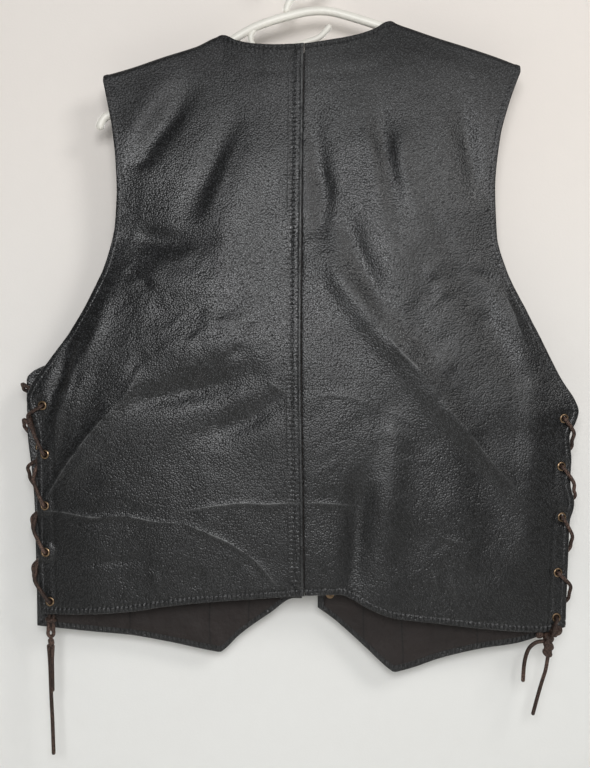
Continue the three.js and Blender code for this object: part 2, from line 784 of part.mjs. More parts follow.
function roundSection(radius, sides) {
  const corners = Array.from({ length: sides }, (_, k) => {
    const angle = ((k + 0.5) / sides) * 2 * Math.PI;
    return new THREE.Vector2(radius * Math.cos(angle), radius * Math.sin(angle));
  });
  return new THREE.Shape(corners);
}

function tube(points, radius, sides) {
  const extrudePath = new Route(points);
  const steps = points.length - 1;
  return new THREE.ExtrudeGeometry(roundSection(radius, sides), { steps, extrudePath, bevelEnabled: false });
}

const curvePoints = (points, count) => new THREE.CatmullRomCurve3(points).getSpacedPoints(count);

// Leather panels and linings
const panels = {
  back_left: makePanel(BACK_LEFT, -1, -1),
  back_right: makePanel(BACK_RIGHT, 1, -1),
  front_left: makePanel(FRONT_LEFT, -1, 1),
  front_right: makePanel(FRONT_RIGHT, 1, 1),
};
const backRoll = [-1, 0, 1, 2].map((k) => k * ROLL_STEP);
const frontRoll = [ROLL_STEP + GAP / (ROLL - LEATHER / 2), 2 * ROLL_STEP];
const backForm = {
  armRows: 11, between: 1, count: 11, innerSteps: [SEAM_BAND + 0.8, SEAM_BAND, 0], rollAngles: backRoll, snaps: [],
};
const frontForm = {
  armRows: 6, between: 0, count: 6, innerSteps: [STRIP, STRIP - SEAT, 0], rollAngles: frontRoll, snaps: SNAPS,
};
const grids = {
  back_left: panelGrid(panels.back_left, backForm),
  back_right: panelGrid(panels.back_right, { ...backForm, innerSteps: [SEAM_BAND, 0] }),
  front_left: panelGrid(panels.front_left, frontForm),
  front_right: panelGrid(panels.front_right, frontForm),
};

function leatherWall({ grid, normals, seats }, bandColumns) {
  const lastColumn = grid[0].length - 1;
  const outside = (i, j) => LEATHER / 2 + (j > lastColumn - bandColumns ? SEAM_BAND_RISE : 0);
  return cut(wall(grid, normals, outside, () => -LEATHER / 2), bores(seats));
}

// The lining lies on the inside of a front, from below the shoulder's turn to the hem's band
// and from the laced strip to the front edge's band.
function liningWall({ grid, normals, seats, turned }) {
  const trim = (rows) => rows.slice(turned, -1).map((row) => row.slice(2, -1));
  const outside = -(LEATHER / 2 + GAP);
  const body = wall(trim(grid), trim(normals), () => outside, () => outside - LINING);
  return cut(body, bores(seats.filter((seat) => seat.kind === 'snap')));
}

// A place on a panel's side edge, with the directions out of the edge and out of the leather.
function sideEdge({ grid, normals }, z) {
  let i = 0;
  while (i < grid.length - 2 && grid[i + 1][0].z > z) i += 1;
  const t = (grid[i][0].z - z) / (grid[i][0].z - grid[i + 1][0].z);
  const point = grid[i][0].clone().lerp(grid[i + 1][0], t);
  const inboard = grid[i][1].clone().lerp(grid[i + 1][1], t);
  const normal = normals[i][0].clone().lerp(normals[i + 1][0], t).normalize();
  const out = point.clone().sub(inboard).normalize();
  return { point, normal, out };
}

// The lace through an eyelet, from inside to outside, or from outside to inside where
// the turn is -1, leaning from where it comes and to where it goes.
function throughEyelet(seat, turn, from, to) {
  const lean = (target) => {
    const flat = target.clone().sub(seat.centre);
    return flat.addScaledVector(seat.normal, -flat.dot(seat.normal)).normalize();
  };
  const place = (height, towards, distance) => seat.centre.clone()
    .addScaledVector(seat.normal, height * turn).addScaledVector(towards, distance);
  return [
    place(-LACE_RISE, lean(from), 2), place(-1.5, lean(from), 0),
    place(1.5, lean(to), 0), place(LACE_RISE, lean(to), 2),
  ];
}

// The lace round a side edge, from outside to inside, or back where the turn is -1.
function roundEdge(form, z, turn, drop) {
  return [50, 0, -50].map((degrees, k) => {
    const angle = THREE.MathUtils.degToRad(degrees) * turn;
    const { point, normal, out } = sideEdge(form, z + (1 - k) * drop);
    return point.addScaledVector(out, 3.2 * Math.cos(angle))
      .addScaledVector(normal, LACE_RISE * Math.sin(angle));
  });
}

// A strand runs over its stations; an eyelet leans towards its neighbours.
function strand(stations, start, end) {
  const anchor = (station) => (station.seat ? station.seat.centre : sideEdge(station.form, station.z).point);
  const points = [...start];
  stations.forEach((station, k) => {
    if (!station.seat) {
      points.push(...roundEdge(station.form, station.z, station.turn, station.drop ?? 9));
      return;
    }
    const from = k > 0 ? anchor(stations[k - 1]) : start[0];
    const to = k < stations.length - 1 ? anchor(stations[k + 1]) : end[0];
    points.push(...throughEyelet(station.seat, station.turn, from, to));
  });
  points.push(...end);
  return tube(points, LACE_RADIUS, LACE_SIDES);
}

const eyeletSeats = (form) => form.seats.filter((seat) => seat.kind === 'eyelet');
const vector = ([x, y, z]) => new THREE.Vector3(x, y, z);

// The right side is laced from inside to outside, and each strand then goes round the edge.
function rightLace() {
  const back = grids.back_right;
  const front = grids.front_right;
  const seats = { back: eyeletSeats(back), front: eyeletSeats(front) };
  const forms = { back, front };
  const middle = seats.back[0].centre.clone().lerp(seats.front[0].centre, 0.5);
  middle.y = 0;
  const run = (first, second) => {
    const stations = [];
    for (let k = 0; k < 5; k += 1) {
      const side = k % 2 === 0 ? first : second;
      const seat = seats[side][k];
      stations.push({ seat, turn: 1 });
      if (k < 4) {
        const next = seats[side === 'back' ? 'front' : 'back'][k + 1];
        stations.push({ form: forms[side], z: (seat.centre.z + next.centre.z) / 2, turn: 1 });
      }
    }
    return stations;
  };
  const knot = RIGHT_KNOT;
  const fromBack = strand(run('back', 'front'), [middle.clone().setZ(middle.z + 1.5)], [
    vector([knot.x + 6.5, -11.8, -725]), vector([knot.x + 4.4, -11.6, -733.5]),
    vector([knot.x + 3, -8.6, knot.top - 5]),
  ]);
  const fifth = seats.front[4].centre;
  const lastRound = { form: front, z: fifth.z - 10, turn: 1, drop: 5 };
  const fromFront = strand([...run('front', 'back'), lastRound], [middle.clone().setZ(middle.z - 1.5)], [
    vector([knot.x + 6, -0.6, -729]), vector([knot.x - 2, -1.4, -736.5]),
    vector([knot.x - 3, -5.5, knot.top - 6]),
  ]);
  return joined([fromBack, fromFront, ...rightKnot()]);
}

// The left side is laced from outside to inside, round the other panel's edge first.
function leftLace() {
  const back = grids.back_left;
  const front = grids.front_left;
  const b = eyeletSeats(back);
  const f = eyeletSeats(front);
  const between = (upper, lower) => (upper.centre.z + lower.centre.z) / 2 + 3;
  const round = (form, upper, lower) => ({ form, z: between(upper, lower), turn: -1 });
  const start = b[0].centre.clone();
  start.y = 0;
  const first = strand([
    { seat: b[0], turn: 1 },
    { form: back, z: between(b[0], b[1]) + 4, turn: 1 },
    { form: front, z: between(f[0], f[1]) - 6, turn: -1, drop: 5 },
    { seat: f[1], turn: -1 },
    round(back, f[1], b[2]),
    { seat: b[2], turn: -1 },
    round(front, b[2], f[3]),
    { seat: f[3], turn: -1 },
    round(back, f[3], b[4]),
    { seat: b[4], turn: -1 },
  ], [start.clone().add(new THREE.Vector3(2, 0, 0))], [
    vector([LEFT_TAIL.x + 2.6, -1.2, -715]), vector([LEFT_TAIL.x + 2.4, -2, -722]),
    vector([LEFT_TAIL.x + 3, -2.8, -733]),
  ]);
  const second = strand([
    { form: front, z: f[0].centre.z + 9, turn: -1, drop: 3 },
    { seat: f[0], turn: -1 },
    round(back, f[0], b[1]),
    { seat: b[1], turn: -1 },
    round(front, b[1], f[2]),
    { seat: f[2], turn: -1 },
    round(back, f[2], b[3]),
    { seat: b[3], turn: -1 },
    round(front, b[3], f[4]),
    { seat: f[4], turn: -1 },
  ], [start.clone().add(new THREE.Vector3(4, 1.2, -4)), start.clone().add(new THREE.Vector3(0, 1.2, 5))], [
    vector([LEFT_TAIL.x - 2.2, 0.4, -713]), vector([LEFT_TAIL.x - 2.4, -1.2, -721]),
    vector([LEFT_TAIL.x - 3, -2.8, -733]),
  ]);
  return joined([first, second, ...leftKnot()]);
}

// Knots: windings of the lace as closed rings, tilted and joined.
function winding({ x, y, z, radius, flat, tilt, lean }) {
  const ring = new THREE.TorusGeometry(radius, LACE_RADIUS, 6, 8);
  ring.scale(1, flat, 1).rotateX(tilt).rotateY(lean);
  return ring.translate(x, y, z);
}

function leftKnot() {
  const { x, y, loop, bead, end } = LEFT_TAIL;
  return [
    winding({ x, y: y - 1, z: loop, radius: 3.2, flat: 1.25, tilt: Math.PI / 2, lean: 0 }),
    winding({ x, y: y - 1.2, z: bead + 1.5, radius: 2.6, flat: 0.8, tilt: 0.3, lean: 0.25 }),
    tube([vector([x - 1, y - 1, loop - 5]), vector([x + 0.6, y - 1.2, bead + 1]),
      vector([x, y - 1.2, end])], LACE_RADIUS, LACE_SIDES),
  ];
}

function rightKnot() {
  const { x, y, top, bottom, end } = RIGHT_KNOT;
  const middle = (top + bottom) / 2;
  return [
    winding({ x: x + 0.8, y, z: top - 6.5, radius: 3.4, flat: 0.95, tilt: 0.5, lean: 0.35 }),
    winding({ x, y, z: middle, radius: 3.6, flat: 0.95, tilt: -0.45, lean: -0.4 }),
    winding({ x: x - 0.4, y, z: bottom + 5.6, radius: 3.4, flat: 0.95, tilt: 0.45, lean: 0.3 }),
    tube([vector([x + 0.6, y, top - 5]), vector([x, y, middle]), vector([x - 0.5, y, end])],
      KNOT_CORE_RADIUS, LACE_SIDES),
  ];
}

// Hanger: one bent tube with rounded ends, its hook and the small hook for straps.

function roundEnd(point, radius) {
  return new THREE.SphereGeometry(radius * 0.995, 8, 5).translate(point.x, point.y, point.z);
}

function hanger() {
  const main = hangerPath();
  const bar = tube(main, ARM_RADIUS, 10);
  const middleRadius = HOOK_INSIDE_RADIUS + HOOK_RADIUS;
  const bend = [-45, -10, 25, 60, 90, 120, 155, 190].map((degrees) => {
    const angle = THREE.MathUtils.degToRad(degrees);
    return new THREE.Vector3(
      middleRadius * Math.cos(angle), 0, middleRadius * Math.sin(angle) - HOOK_INSIDE_RADIUS,
    );
  });
  const hookPoints = [...HOOK_SHANK.map(inPlane), ...bend];
  const hook = tube(hookPoints, HOOK_RADIUS, 8);
  const strap = tube(curvePoints(STRAP_HOOK.map(inPlane), 9), STRAP_HOOK_RADIUS, 8);
  return joined([
    bar, hook, strap,
    roundEnd(main[0], ARM_RADIUS), roundEnd(main.at(-1), ARM_RADIUS),
    roundEnd(bend.at(-1), HOOK_RADIUS), roundEnd(inPlane(STRAP_HOOK.at(-1)), STRAP_HOOK_RADIUS),
  ]);
}

// Materials
const finish = (color, roughness, metalness) => new THREE.MeshStandardMaterial({ color, roughness, metalness });
const leather = () => finish(0x3b3c3d, 0.55, 0);
const liningCloth = () => finish(0x2e2a29, 0.8, 0);
const brass = () => finish(0x8a6a45, 0.4, 1);
const thong = () => finish(0x4a3a36, 0.65, 0);
const whitePlastic = () => finish(0xccc9ba, 0.45, 0);

const vest = new THREE.Group();

function add(name, geometry, material) {
  const mesh = new THREE.Mesh(geometry, material);
  mesh.name = name;
  vest.add(mesh);
}

add('back_left', leatherWall(grids.back_left, 2), leather());
add('back_right', leatherWall(grids.back_right, 0), leather());
for (const name of ['front_left', 'front_right']) {
  add(name, leatherWall(grids[name], 0), leather());
  add(name.replace('front', 'lining'), liningWall(grids[name]), liningCloth());
}
for (const [name, form] of Object.entries(grids)) {
  eyeletSeats(form).forEach((seat, k) => add(`eyelet_${name}_${k + 1}`, seated(eyeletShape(), seat), brass()));
}
for (const [name, stud] of [['front_left', false], ['front_right', true]]) {
  grids[name].seats.filter((seat) => seat.kind === 'snap').forEach((seat, k) => {
    const kind = stud ? 'snap_stud' : 'snap_cap';
    add(`${kind}_${k + 1}`, seated(snapShape(stud), seat), brass());
  });
}
add('lace_right', rightLace(), thong());
add('lace_left', leftLace(), thong());
for (const { name, route } of FREE_ENDS) {
  const points = curvePoints(route.map(vector), Math.max(5, Math.round((route.length - 1) * 2)));
  add(name, tube(points, LACE_RADIUS, END_SIDES), thong());
}
add('hanger', hanger(), whitePlastic());

export default vest;
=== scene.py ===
import math

import bmesh
import bpy
import numpy as np
from bpy.props import FloatProperty, FloatVectorProperty, PointerProperty
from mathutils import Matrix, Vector


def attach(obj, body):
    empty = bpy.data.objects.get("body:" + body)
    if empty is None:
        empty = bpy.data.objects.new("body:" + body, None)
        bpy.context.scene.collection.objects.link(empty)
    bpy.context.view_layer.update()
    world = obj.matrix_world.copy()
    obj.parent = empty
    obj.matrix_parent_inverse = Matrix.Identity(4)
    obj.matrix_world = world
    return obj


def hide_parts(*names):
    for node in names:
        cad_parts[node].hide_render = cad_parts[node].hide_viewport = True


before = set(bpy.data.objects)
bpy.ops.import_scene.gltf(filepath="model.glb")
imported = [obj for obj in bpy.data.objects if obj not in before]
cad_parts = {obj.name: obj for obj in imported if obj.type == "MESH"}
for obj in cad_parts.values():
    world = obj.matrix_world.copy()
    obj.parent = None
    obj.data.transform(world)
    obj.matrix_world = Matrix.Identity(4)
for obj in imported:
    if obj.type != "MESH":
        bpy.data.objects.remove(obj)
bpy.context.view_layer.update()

bl_info = {
    "name": "Laced Leather Vest",
    "version": (1, 0, 0),
    "blender": (4, 5, 0),
    "location": "View3D > Sidebar > Vest",
    "description": "Leather vest with laced sides on a plastic hanger, built on its fixed frame",
    "category": "Object",
}

BODY = "root"

# Shapes are worked out in millimetres, +Z up, +X to the wearer's right, +Y out of the front.
MM = 0.001
LEATHER = 1.8
LINING = 0.8
GAP = 0.3
ARM_RADIUS = 4.7
ARM_BEND = 26.0
HOOK_RADIUS = 3.7
HOOK_INSIDE_RADIUS = 19.0
STRAP_HOOK_RADIUS = 3.3
ROLL = (ARM_RADIUS + GAP) / math.cos(math.radians(15)) + LEATHER / 2
FRONT_ROLL = ARM_RADIUS + 0.5 + LINING + GAP + LEATHER / 2
PANEL_WIDTH = 280.0
PANEL_HEIGHT = 600.0
HEM_ROWS = 12.0
EDGE_ROUND = 1.3
SEAM_BAND = 8.5
SEAM_BAND_RISE = 0.8
STRIP = 20.0
SEAT = 13.0
SEAT_FLAT = 7.0
SEAT_REACH = 12.0
EYELETS = 5
EYELET_BORE = 3.4
BORE_REACH = 7.0
NO_EDGE = 1e3
HEM_BAND_LEVEL = 0.989
LACE_RADIUS = 2.0
LACE_RISE = LEATHER / 2 + 2 * LACE_RADIUS + 0.1
LACE_STEP = 1.2
STRAND_RADIUS = 2.05
TIGHT_RADIUS = 2.5
SQUARENESS = 0.12
HIDDEN_END = 2.8
NECK_LEFT = -87.0
NECK_RIGHT = 92.0
NECK_DEPTH = 7.0
NECK_TURN = 14.0
NECK_CLEARANCE = 0.2

# The line over which the leather turns at the top, as x, z.
TOP_LINE = [
    (-218, -133), (-187, -124), (-152, -112), (-117, -101), (-87, -89), (-73, -95), (-56, -99),
    (-30, -101), (0, -100), (21, -97), (56, -90), (75, -83), (92, -74), (108, -79), (143, -91),
    (178, -102), (213, -114), (235, -123),
]

# Cuts of the panels: side edge and middle edge as z, x; hem as x, z; eyelets as z, inset.
MIDDLE_SEAM = [(-100, 0), (-183, -1), (-430, -3), (-588, -1), (-691, 0)]
CUTS = {
    "back_left": {
        "outer": [
            (-134, -218), (-163, -212), (-189, -207), (-228, -203), (-256, -202), (-293, -204),
            (-332, -213), (-371, -230), (-409, -252), (-443, -277), (-467, -294), (-481, -299),
            (-505, -292), (-526, -288), (-596, -288), (-688, -286), (-714, -284),
        ],
        "inner": MIDDLE_SEAM,
        "hem": [
            (0, -691), (-59, -695), (-100, -698), (-147, -703), (-186, -709), (-225, -712), (-284, -714),
        ],
        "eyelets": [(-490, 16), (-542, 9), (-597, 9), (-647, 9), (-700, 12)],
    },
    "back_right": {
        "outer": [
            (-125, 235), (-163, 221), (-202, 211), (-256, 206), (-306, 208), (-345, 219), (-383, 238),
            (-422, 258), (-461, 278), (-485, 293), (-495, 296), (-506, 293), (-523, 286), (-546, 288),
            (-573, 287), (-593, 291), (-617, 286), (-666, 284), (-728, 282),
        ],
        "inner": MIDDLE_SEAM,
        "hem": [
            (0, -691), (38, -690), (53, -696), (66, -704), (97, -716), (145, -722), (195, -728),
            (239, -732), (261, -733), (282, -728),
        ],
        "eyelets": [(-502, 15), (-553, 11), (-607, 11), (-666, 11), (-714, 11)],
    },
    "front_left": {
        "outer": [
            (-133, -218), (-200, -198), (-270, -189), (-340, -197), (-400, -226), (-438, -268),
            (-452, -297), (-460, -303), (-516, -302), (-568, -296), (-614, -293), (-729, -291),
        ],
        "inner": [(-89, -87), (-250, -52), (-400, -14), (-440, -5), (-520, -2), (-701, -2)],
        "hem": [
            (-2, -701), (-11, -701), (-37, -717), (-72, -742), (-86.5, -756.3), (-92.5, -760), (-99, -758.8),
            (-116, -755.5), (-151, -748), (-190, -741), (-230, -737), (-291, -729),
        ],
        "eyelets": [(-478, 12), (-534, 12), (-590, 12), (-645, 12), (-700, 12)],
    },
    "front_right": {
        "outer": [
            (-123, 235), (-200, 204), (-270, 193), (-345, 204), (-410, 234), (-450, 268), (-466, 282),
            (-476, 285), (-560, 283), (-650, 281), (-732, 280),
        ],
        "inner": [(-74, 92), (-250, 58), (-400, 26), (-440, 18), (-520, 15), (-711, 15)],
        "hem": [
            (15, -711), (33, -724), (68, -755), (94, -778.5), (99, -781.5), (105, -780.3), (121, -776),
            (147, -767), (191, -756), (233, -749), (280, -732),
        ],
        "eyelets": [(-494, 12), (-548, 12), (-603, 12), (-660, 12), (-709, 12)],
    },
}
SNAP_LEVELS = [-688, -612, -536, -460]

# How far the leather stands out, by the distance below the top line.
BACK_BULGE = [(0, 0), (60, 2), (130, 8), (230, 17), (340, 22), (450, 19), (640, 13)]
FRONT_BULGE = [(0, 0), (80, 4), (200, 10), (340, 12), (480, 10), (690, 7)]

# Main folds: name, start x, z, point that it bends towards x, z, end x, z, width to each side, lift.
BACK_FOLDS = [
    ("shoulder end ridge", -148, -128, -174, -180, -197, -228, 20, 3),
    ("shoulder end dip", -126, -135, -151, -188, -187, -231, 15, -5),
    ("left blade dip", -79, -188, -98, -233, -123, -283, 15, -4.5),
    ("left blade ridge", -45, -186, -68, -249, -84, -323, 24, 2.5),
    ("left arm dip", -183, -304, -153, -316, -105, -313, 14, -5),
    ("left arm ridge", -185, -345, -153, -360, -95, -366, 20, 3),
    ("left waist ridge", -163, -424, -111, -429, -63, -413, 20, 3),
    ("left waist dip", -193, -487, -132, -474, -57, -457, 15, -5),
    ("left low dip", -105, -516, -63, -509, -13, -470, 15, -4),
    ("left side ridge", -204, -361, -233, -419, -258, -500, 14, 4),
    ("left side dip", -229, -414, -252, -456, -266, -480, 12, -3),
    ("left low ridge", -262, -580, -243, -538, -190, -480, 12, 3),
    ("middle dip", 8, -175, 22, -260, 17, -315, 13, -4),
    ("long ridge", 8, -321, 72, -392, 170, -515, 17, 6),
    ("long ridge end", 140, -480, 176, -520, 226, -578, 14, 4),
    ("long ridge dip", 43, -283, 61, -336, 89, -400, 16, -5),
    ("right blade dip", 80, -162, 87, -217, 100, -300, 14, -4),
    ("right shoulder dip", 167, -159, 176, -207, 186, -260, 13, -3.5),
    ("right arm ridge", 205, -360, 226, -408, 250, -467, 14, 3),
    ("right arm dip", 165, -353, 200, -398, 228, -456, 18, -4),
    ("right waist dip", 149, -482, 207, -551, 199, -657, 24, -5),
    ("right side ridge", 238, -477, 252, -525, 235, -652, 17, 3),
    ("hem step dip", 61, -567, 57, -631, 49, -697, 14, -5),
    ("hem step ridge", 93, -514, 89, -588, 86, -704, 18, 4),
]
FRONT_FOLDS = [
    ("left chest dip", -170, -160, -120, -270, -60, -400, 20, -4),
    ("left arm ridge", -190, -310, -160, -400, -90, -470, 20, 4),
    ("left low dip", -250, -560, -170, -600, -90, -580, 18, -4),
    ("left hem ridge", -120, -600, -140, -660, -130, -740, 20, 3),
    ("right chest dip", 175, -150, 135, -260, 75, -390, 20, -4),
    ("right arm ridge", 190, -330, 150, -420, 80, -480, 20, 4),
    ("right low dip", 240, -540, 170, -590, 90, -610, 18, -4),
    ("right hem ridge", 150, -610, 160, -670, 150, -750, 20, 3),
]

# Fine creases: name, three points on it as x, z, width to each side, lift, share rubbed pale.
BACK_CREASES = [
    ("blade crest left", -70, -193, -87, -240, -111, -293, 8, 1.4, 0.0),
    ("arm pucker", -177, -304, -148, -320, -116, -308, 9, -1.0, 0.0),
    ("shoulder crease", -115, -142, -145, -190, -187, -231, 8, -1.0, 0.0),
    ("shoulder fork", -164, -217, -175, -225, -198, -227, 6, -1.0, 0.0),
    ("waist dimple high", -105, -386, -87, -389, -68, -383, 9, -1.1, 0.0),
    ("waist dimple low", -84, -429, -74, -430, -62, -422, 9, -1.3, 0.0),
    ("waist crumple", -181, -429, -174, -442, -185, -457, 7, -1.1, 0.0),
    ("waist pleat", -127, -470, -111, -480, -94, -483, 8, -1.1, 0.0),
    ("waist fold low", -191, -484, -132, -478, -58, -459, 9, -1.2, 0.0),
    ("waist line", -95, -514, -60, -509, -15, -472, 8, -1.1, 0.0),
    ("waist swell", -121, -402, -95, -394, -66, -400, 10, 1.2, 0.0),
    ("side crease", -279, -591, -244, -538, -196, -483, 3.4, 1.3, 0.5),
    ("side crease top", -204, -491, -183, -470, -169, -438, 4, 1.2, 0.3),
    ("old fold left", -277, -604, -207, -608, -128, -613, 3, 0.7, 0.8),
    ("old fold left end", -132, -612, -92, -629, -58, -651, 3, 0.7, 0.8),
    ("old fold to hem", -61, -648, -45, -662, -30, -679, 3, 0.7, 0.5),
    ("old fold middle", -131, -602, -68, -593, -4, -592, 3, 0.6, 0.7),
    ("old fold right", 0, -592, 27, -593, 52, -596, 3, 0.6, 0.5),
    ("seam crease", -45, -461, -30, -470, -13, -483, 4, 0.7, 0.3),
    ("cross crease", 2, -481, 43, -479, 81, -493, 4, 0.5, 0.25),
    ("cross crease end", 78, -492, 104, -500, 124, -521, 4, 0.5, 0.2),
    ("middle stroke", 8, -217, 23, -259, 17, -312, 9, -1.5, 0.0),
    ("middle stroke low", 18, -316, 21, -356, 33, -398, 10, -1.2, 0.0),
    ("right swell low", 62, -300, 70, -345, 92, -392, 10, 1.0, 0.0),
    ("right hollow", 128, -268, 150, -312, 178, -350, 10, -1.1, 0.0),
    ("triangle edge", 40, -283, 64, -336, 87, -400, 8, -1.0, 0.0),
    ("ridge line", 84, -411, 110, -442, 134, -469, 4, 1.4, 0.7),
    ("ridge line end", 134, -470, 178, -522, 223, -574, 3.6, 1.1, 0.3),
    ("right trough", 81, -161, 87, -217, 99, -293, 9, -1.3, 0.0),
    ("right trough west", 68, -176, 74, -219, 85, -275, 8, 1.2, 0.0),
    ("right trough east", 104, -183, 104, -227, 116, -278, 8, 1.2, 0.0),
    ("shoulder trough", 166, -161, 178, -215, 188, -259, 8, -1.0, 0.0),
    ("patch one", 127, -340, 136, -346, 142, -355, 10, 1.0, 0.0),
    ("patch two", 140, -359, 149, -366, 152, -376, 10, 1.0, 0.0),
    ("patch three", 106, -425, 114, -431, 121, -440, 10, 1.0, 0.0),
    ("patch four", 144, -431, 151, -441, 155, -453, 10, 1.0, 0.0),
    ("patch five", 176, -376, 187, -383, 195, -395, 9, 0.9, 0.0),
    ("armhole line", 213, -366, 227, -393, 240, -424, 3.6, 1.1, 0.4),
    ("hem step crease", 60, -578, 57, -631, 49, -687, 8, -0.6, 0.0),
    ("hem step top", 81, -514, 82, -542, 78, -570, 7, -0.9, 0.0),
    ("hem step light", 89, -509, 95, -519, 100, -531, 6, 1.0, 0.15),
    ("streak one", 136, -663, 141, -676, 144, -692, 4, 0.8, 0.15),
    ("streak two", 155, -669, 160, -681, 164, -697, 4, 0.8, 0.15),
    ("streak three", 144, -627, 157, -632, 172, -634, 4, 0.6, 0.35),
    ("low left line", -260, -654, -207, -656, -162, -653, 4, -0.7, 0.0),
    ("hem ripple one", -164, -665, -160, -678, -161, -693, 6, 0.9, 0.0),
    ("hem ripple two", -115, -661, -111, -674, -112, -689, 6, -0.9, 0.0),
    ("hem ripple three", -62, -659, -60, -672, -61, -687, 6, 0.9, 0.0),
    ("strip ridge", -238, -412, -254, -474, -273, -556, 5, 2.2, 0.15),
    ("strip valley", -249, -408, -266, -466, -281, -520, 7, -3.0, 0.0),
    ("strip lip", -214, -392, -233, -430, -262, -468, 6, 1.4, 0.0),
    ("armpit crease right", 176, -342, 198, -351, 211, -355, 5, -1.3, 0.0),
    ("armpit crease left", -194, -342, -175, -351, -162, -368, 5, -1.3, 0.0),
    ("neck crease left", -68, -121, -45, -127, -13, -125, 6, -0.9, 0.0),
    ("neck crease right", 8, -127, 49, -132, 93, -121, 6, -0.9, 0.0),
]
FRONT_CREASES = [
    ("left bust crease", -205, -330, -150, -352, -95, -348, 5, -1.6, 0.1),
    ("left waist crease", -270, -520, -190, -512, -110, -530, 4, 1.1, 0.4),
    ("left snap pull", -15, -535, -50, -528, -95, -545, 5, 1.4, 0.2),
    ("left low crease", -240, -640, -170, -655, -90, -640, 3, 0.9, 0.5),
    ("left neck crease", -80, -250, -95, -310, -80, -370, 5, -1.4, 0.0),
    ("right bust crease", 205, -330, 155, -350, 100, -345, 5, -1.6, 0.1),
    ("right waist crease", 262, -515, 190, -508, 115, -526, 4, 1.1, 0.4),
    ("right snap pull", 30, -612, 70, -604, 110, -622, 5, 1.4, 0.2),
    ("right low crease", 245, -650, 175, -662, 95, -648, 3, 0.9, 0.5),
    ("right neck crease", 86, -245, 102, -305, 88, -368, 5, -1.4, 0.0),
]

# The leather's own unevenness, in layers of noise: height, size and seed.
UNEVENNESS = [(2.4, 105, 20), (0.9, 46, 21), (0.3, 21, 22), (0.08, 9, 23)]

# Crumpled places: name, x, z, radius across, radius up, height of the crumples.
CRUMPLES = [
    ("left waist", -105, -430, 85, 75, 0.9),
    ("left blade", -150, -340, 60, 60, 0.3),
    ("right blade", 140, -380, 70, 80, 0.45),
    ("middle low", 70, -540, 90, 60, 0.4),
    ("right low", 170, -640, 80, 60, 0.4),
]

# Turned edges: how far they stand out, where they slope down, and the grooves along their stitching.
EDGE_RISE = 0.6
EDGE_SLOPE = (6.2, 7.8)
GROOVE_DEPTH = 0.6
GROOVE_WIDTH = 0.85

# Rows of stitching: how far each lies from its edge, and how far apart the stitches are.
EDGE_STITCH = 6.2
HEM_STITCH = 7.0
NECK_STITCH = 5.0
SEAM_STITCH = 11.2
FACING_STITCH = 17.2
FACING_TOP = -512.0
STITCH_PITCH = 4.8
STITCH_SIZE = np.array([1.75, 0.42, 0.34])
STITCH_LIFT = 0.12

# Relief of the raised band beside the centre seam: distance from the seam, width, lift.
SEAM_LIP = 2.2
SEAM_RELIEF = [
    ("groove past the stitching", SEAM_STITCH + 1.2, 0.9, -0.5),
    ("swell past the groove", SEAM_STITCH + 3.4, 1.3, 0.25),
    ("lip at the seam", SEAM_LIP, 1.5, 0.8),
    ("hollow of the band", 5.2, 1.6, -0.12),
]

# The seam's allowance inside the vest: places across it from the seam, and its thickness.
ALLOWANCE_STEPS = np.array([-9.6, -9.2, -6.0, -3.0, -0.4, 0.4, 1.4, 1.8])
ALLOWANCE = 1.1
ALLOWANCE_EDGE = 0.5
ALLOWANCE_LIFT = 0.05

# Distances from an edge at which a panel's grid has its lines.
EDGE_STEPS = [0.0, 0.12, 0.4, 0.9, 1.7, 2.8, 4.0, 5.0, 5.7, 6.2, 6.7, 7.3, 8.2, 9.4, 11.2]

# Knots of the laces: where they hang, and the levels in each.
LEFT_KNOT = {"x": -274.0, "y": -2.0, "loop": -735.0, "bead": -746.0, "end": -749.2}
RIGHT_KNOT = {"x": 263.0, "y": -7.5, "top": -735.5, "middle": -747.75, "bottom": -760.0}

# Turns of the laces in the knots: name, place beside the knot's x and y, level, rise above it,
# radius, depth as a share of that, tilt about X and lean about Y in radians, radius of the lace.
UPRIGHT = math.pi / 2
LEFT_TURNS = [
    ("wrap", 0.0, -0.6, "loop", 14.5, 4.3, 0.8, 0.1, 0.12, STRAND_RADIUS),
    ("loop", 0.0, -1.0, "loop", 0.5, 3.1, 1.35, UPRIGHT, 0.0, STRAND_RADIUS),
]
RIGHT_TURNS = [
    ("turn_1", 1.0, 0.0, "top", -2.6, 3.7, 0.9, 0.6, 0.6, TIGHT_RADIUS),
    ("turn_2", 0.6, -0.2, "middle", 5.2, 4.2, 0.9, -0.6, -0.65, TIGHT_RADIUS),
    ("turn_3", 0.3, -0.2, "middle", 0.8, 4.3, 0.9, 0.6, 0.65, TIGHT_RADIUS),
    ("turn_4", -0.4, -0.2, "middle", -3.6, 4.1, 0.9, -0.6, -0.6, TIGHT_RADIUS),
    ("turn_5", -0.9, 0.0, "bottom", 4.8, 3.5, 0.9, 0.5, 0.5, TIGHT_RADIUS),
    ("loop_1", 10.2, 0.5, "top", 4.4, 2.9, 1.2, UPRIGHT, 0.35, TIGHT_RADIUS),
    ("loop_2", -9.0, 0.5, "top", -0.6, 2.3, 0.75, UPRIGHT, -0.3, STRAND_RADIUS),
    ("loop_3", 8.6, -0.4, "top", 6.6, 3.6, 0.8, 0.5, 0.8, TIGHT_RADIUS),
    ("loop_4", 5.4, -0.2, "top", 2.0, 3.2, 0.8, -0.4, 0.9, TIGHT_RADIUS),
]

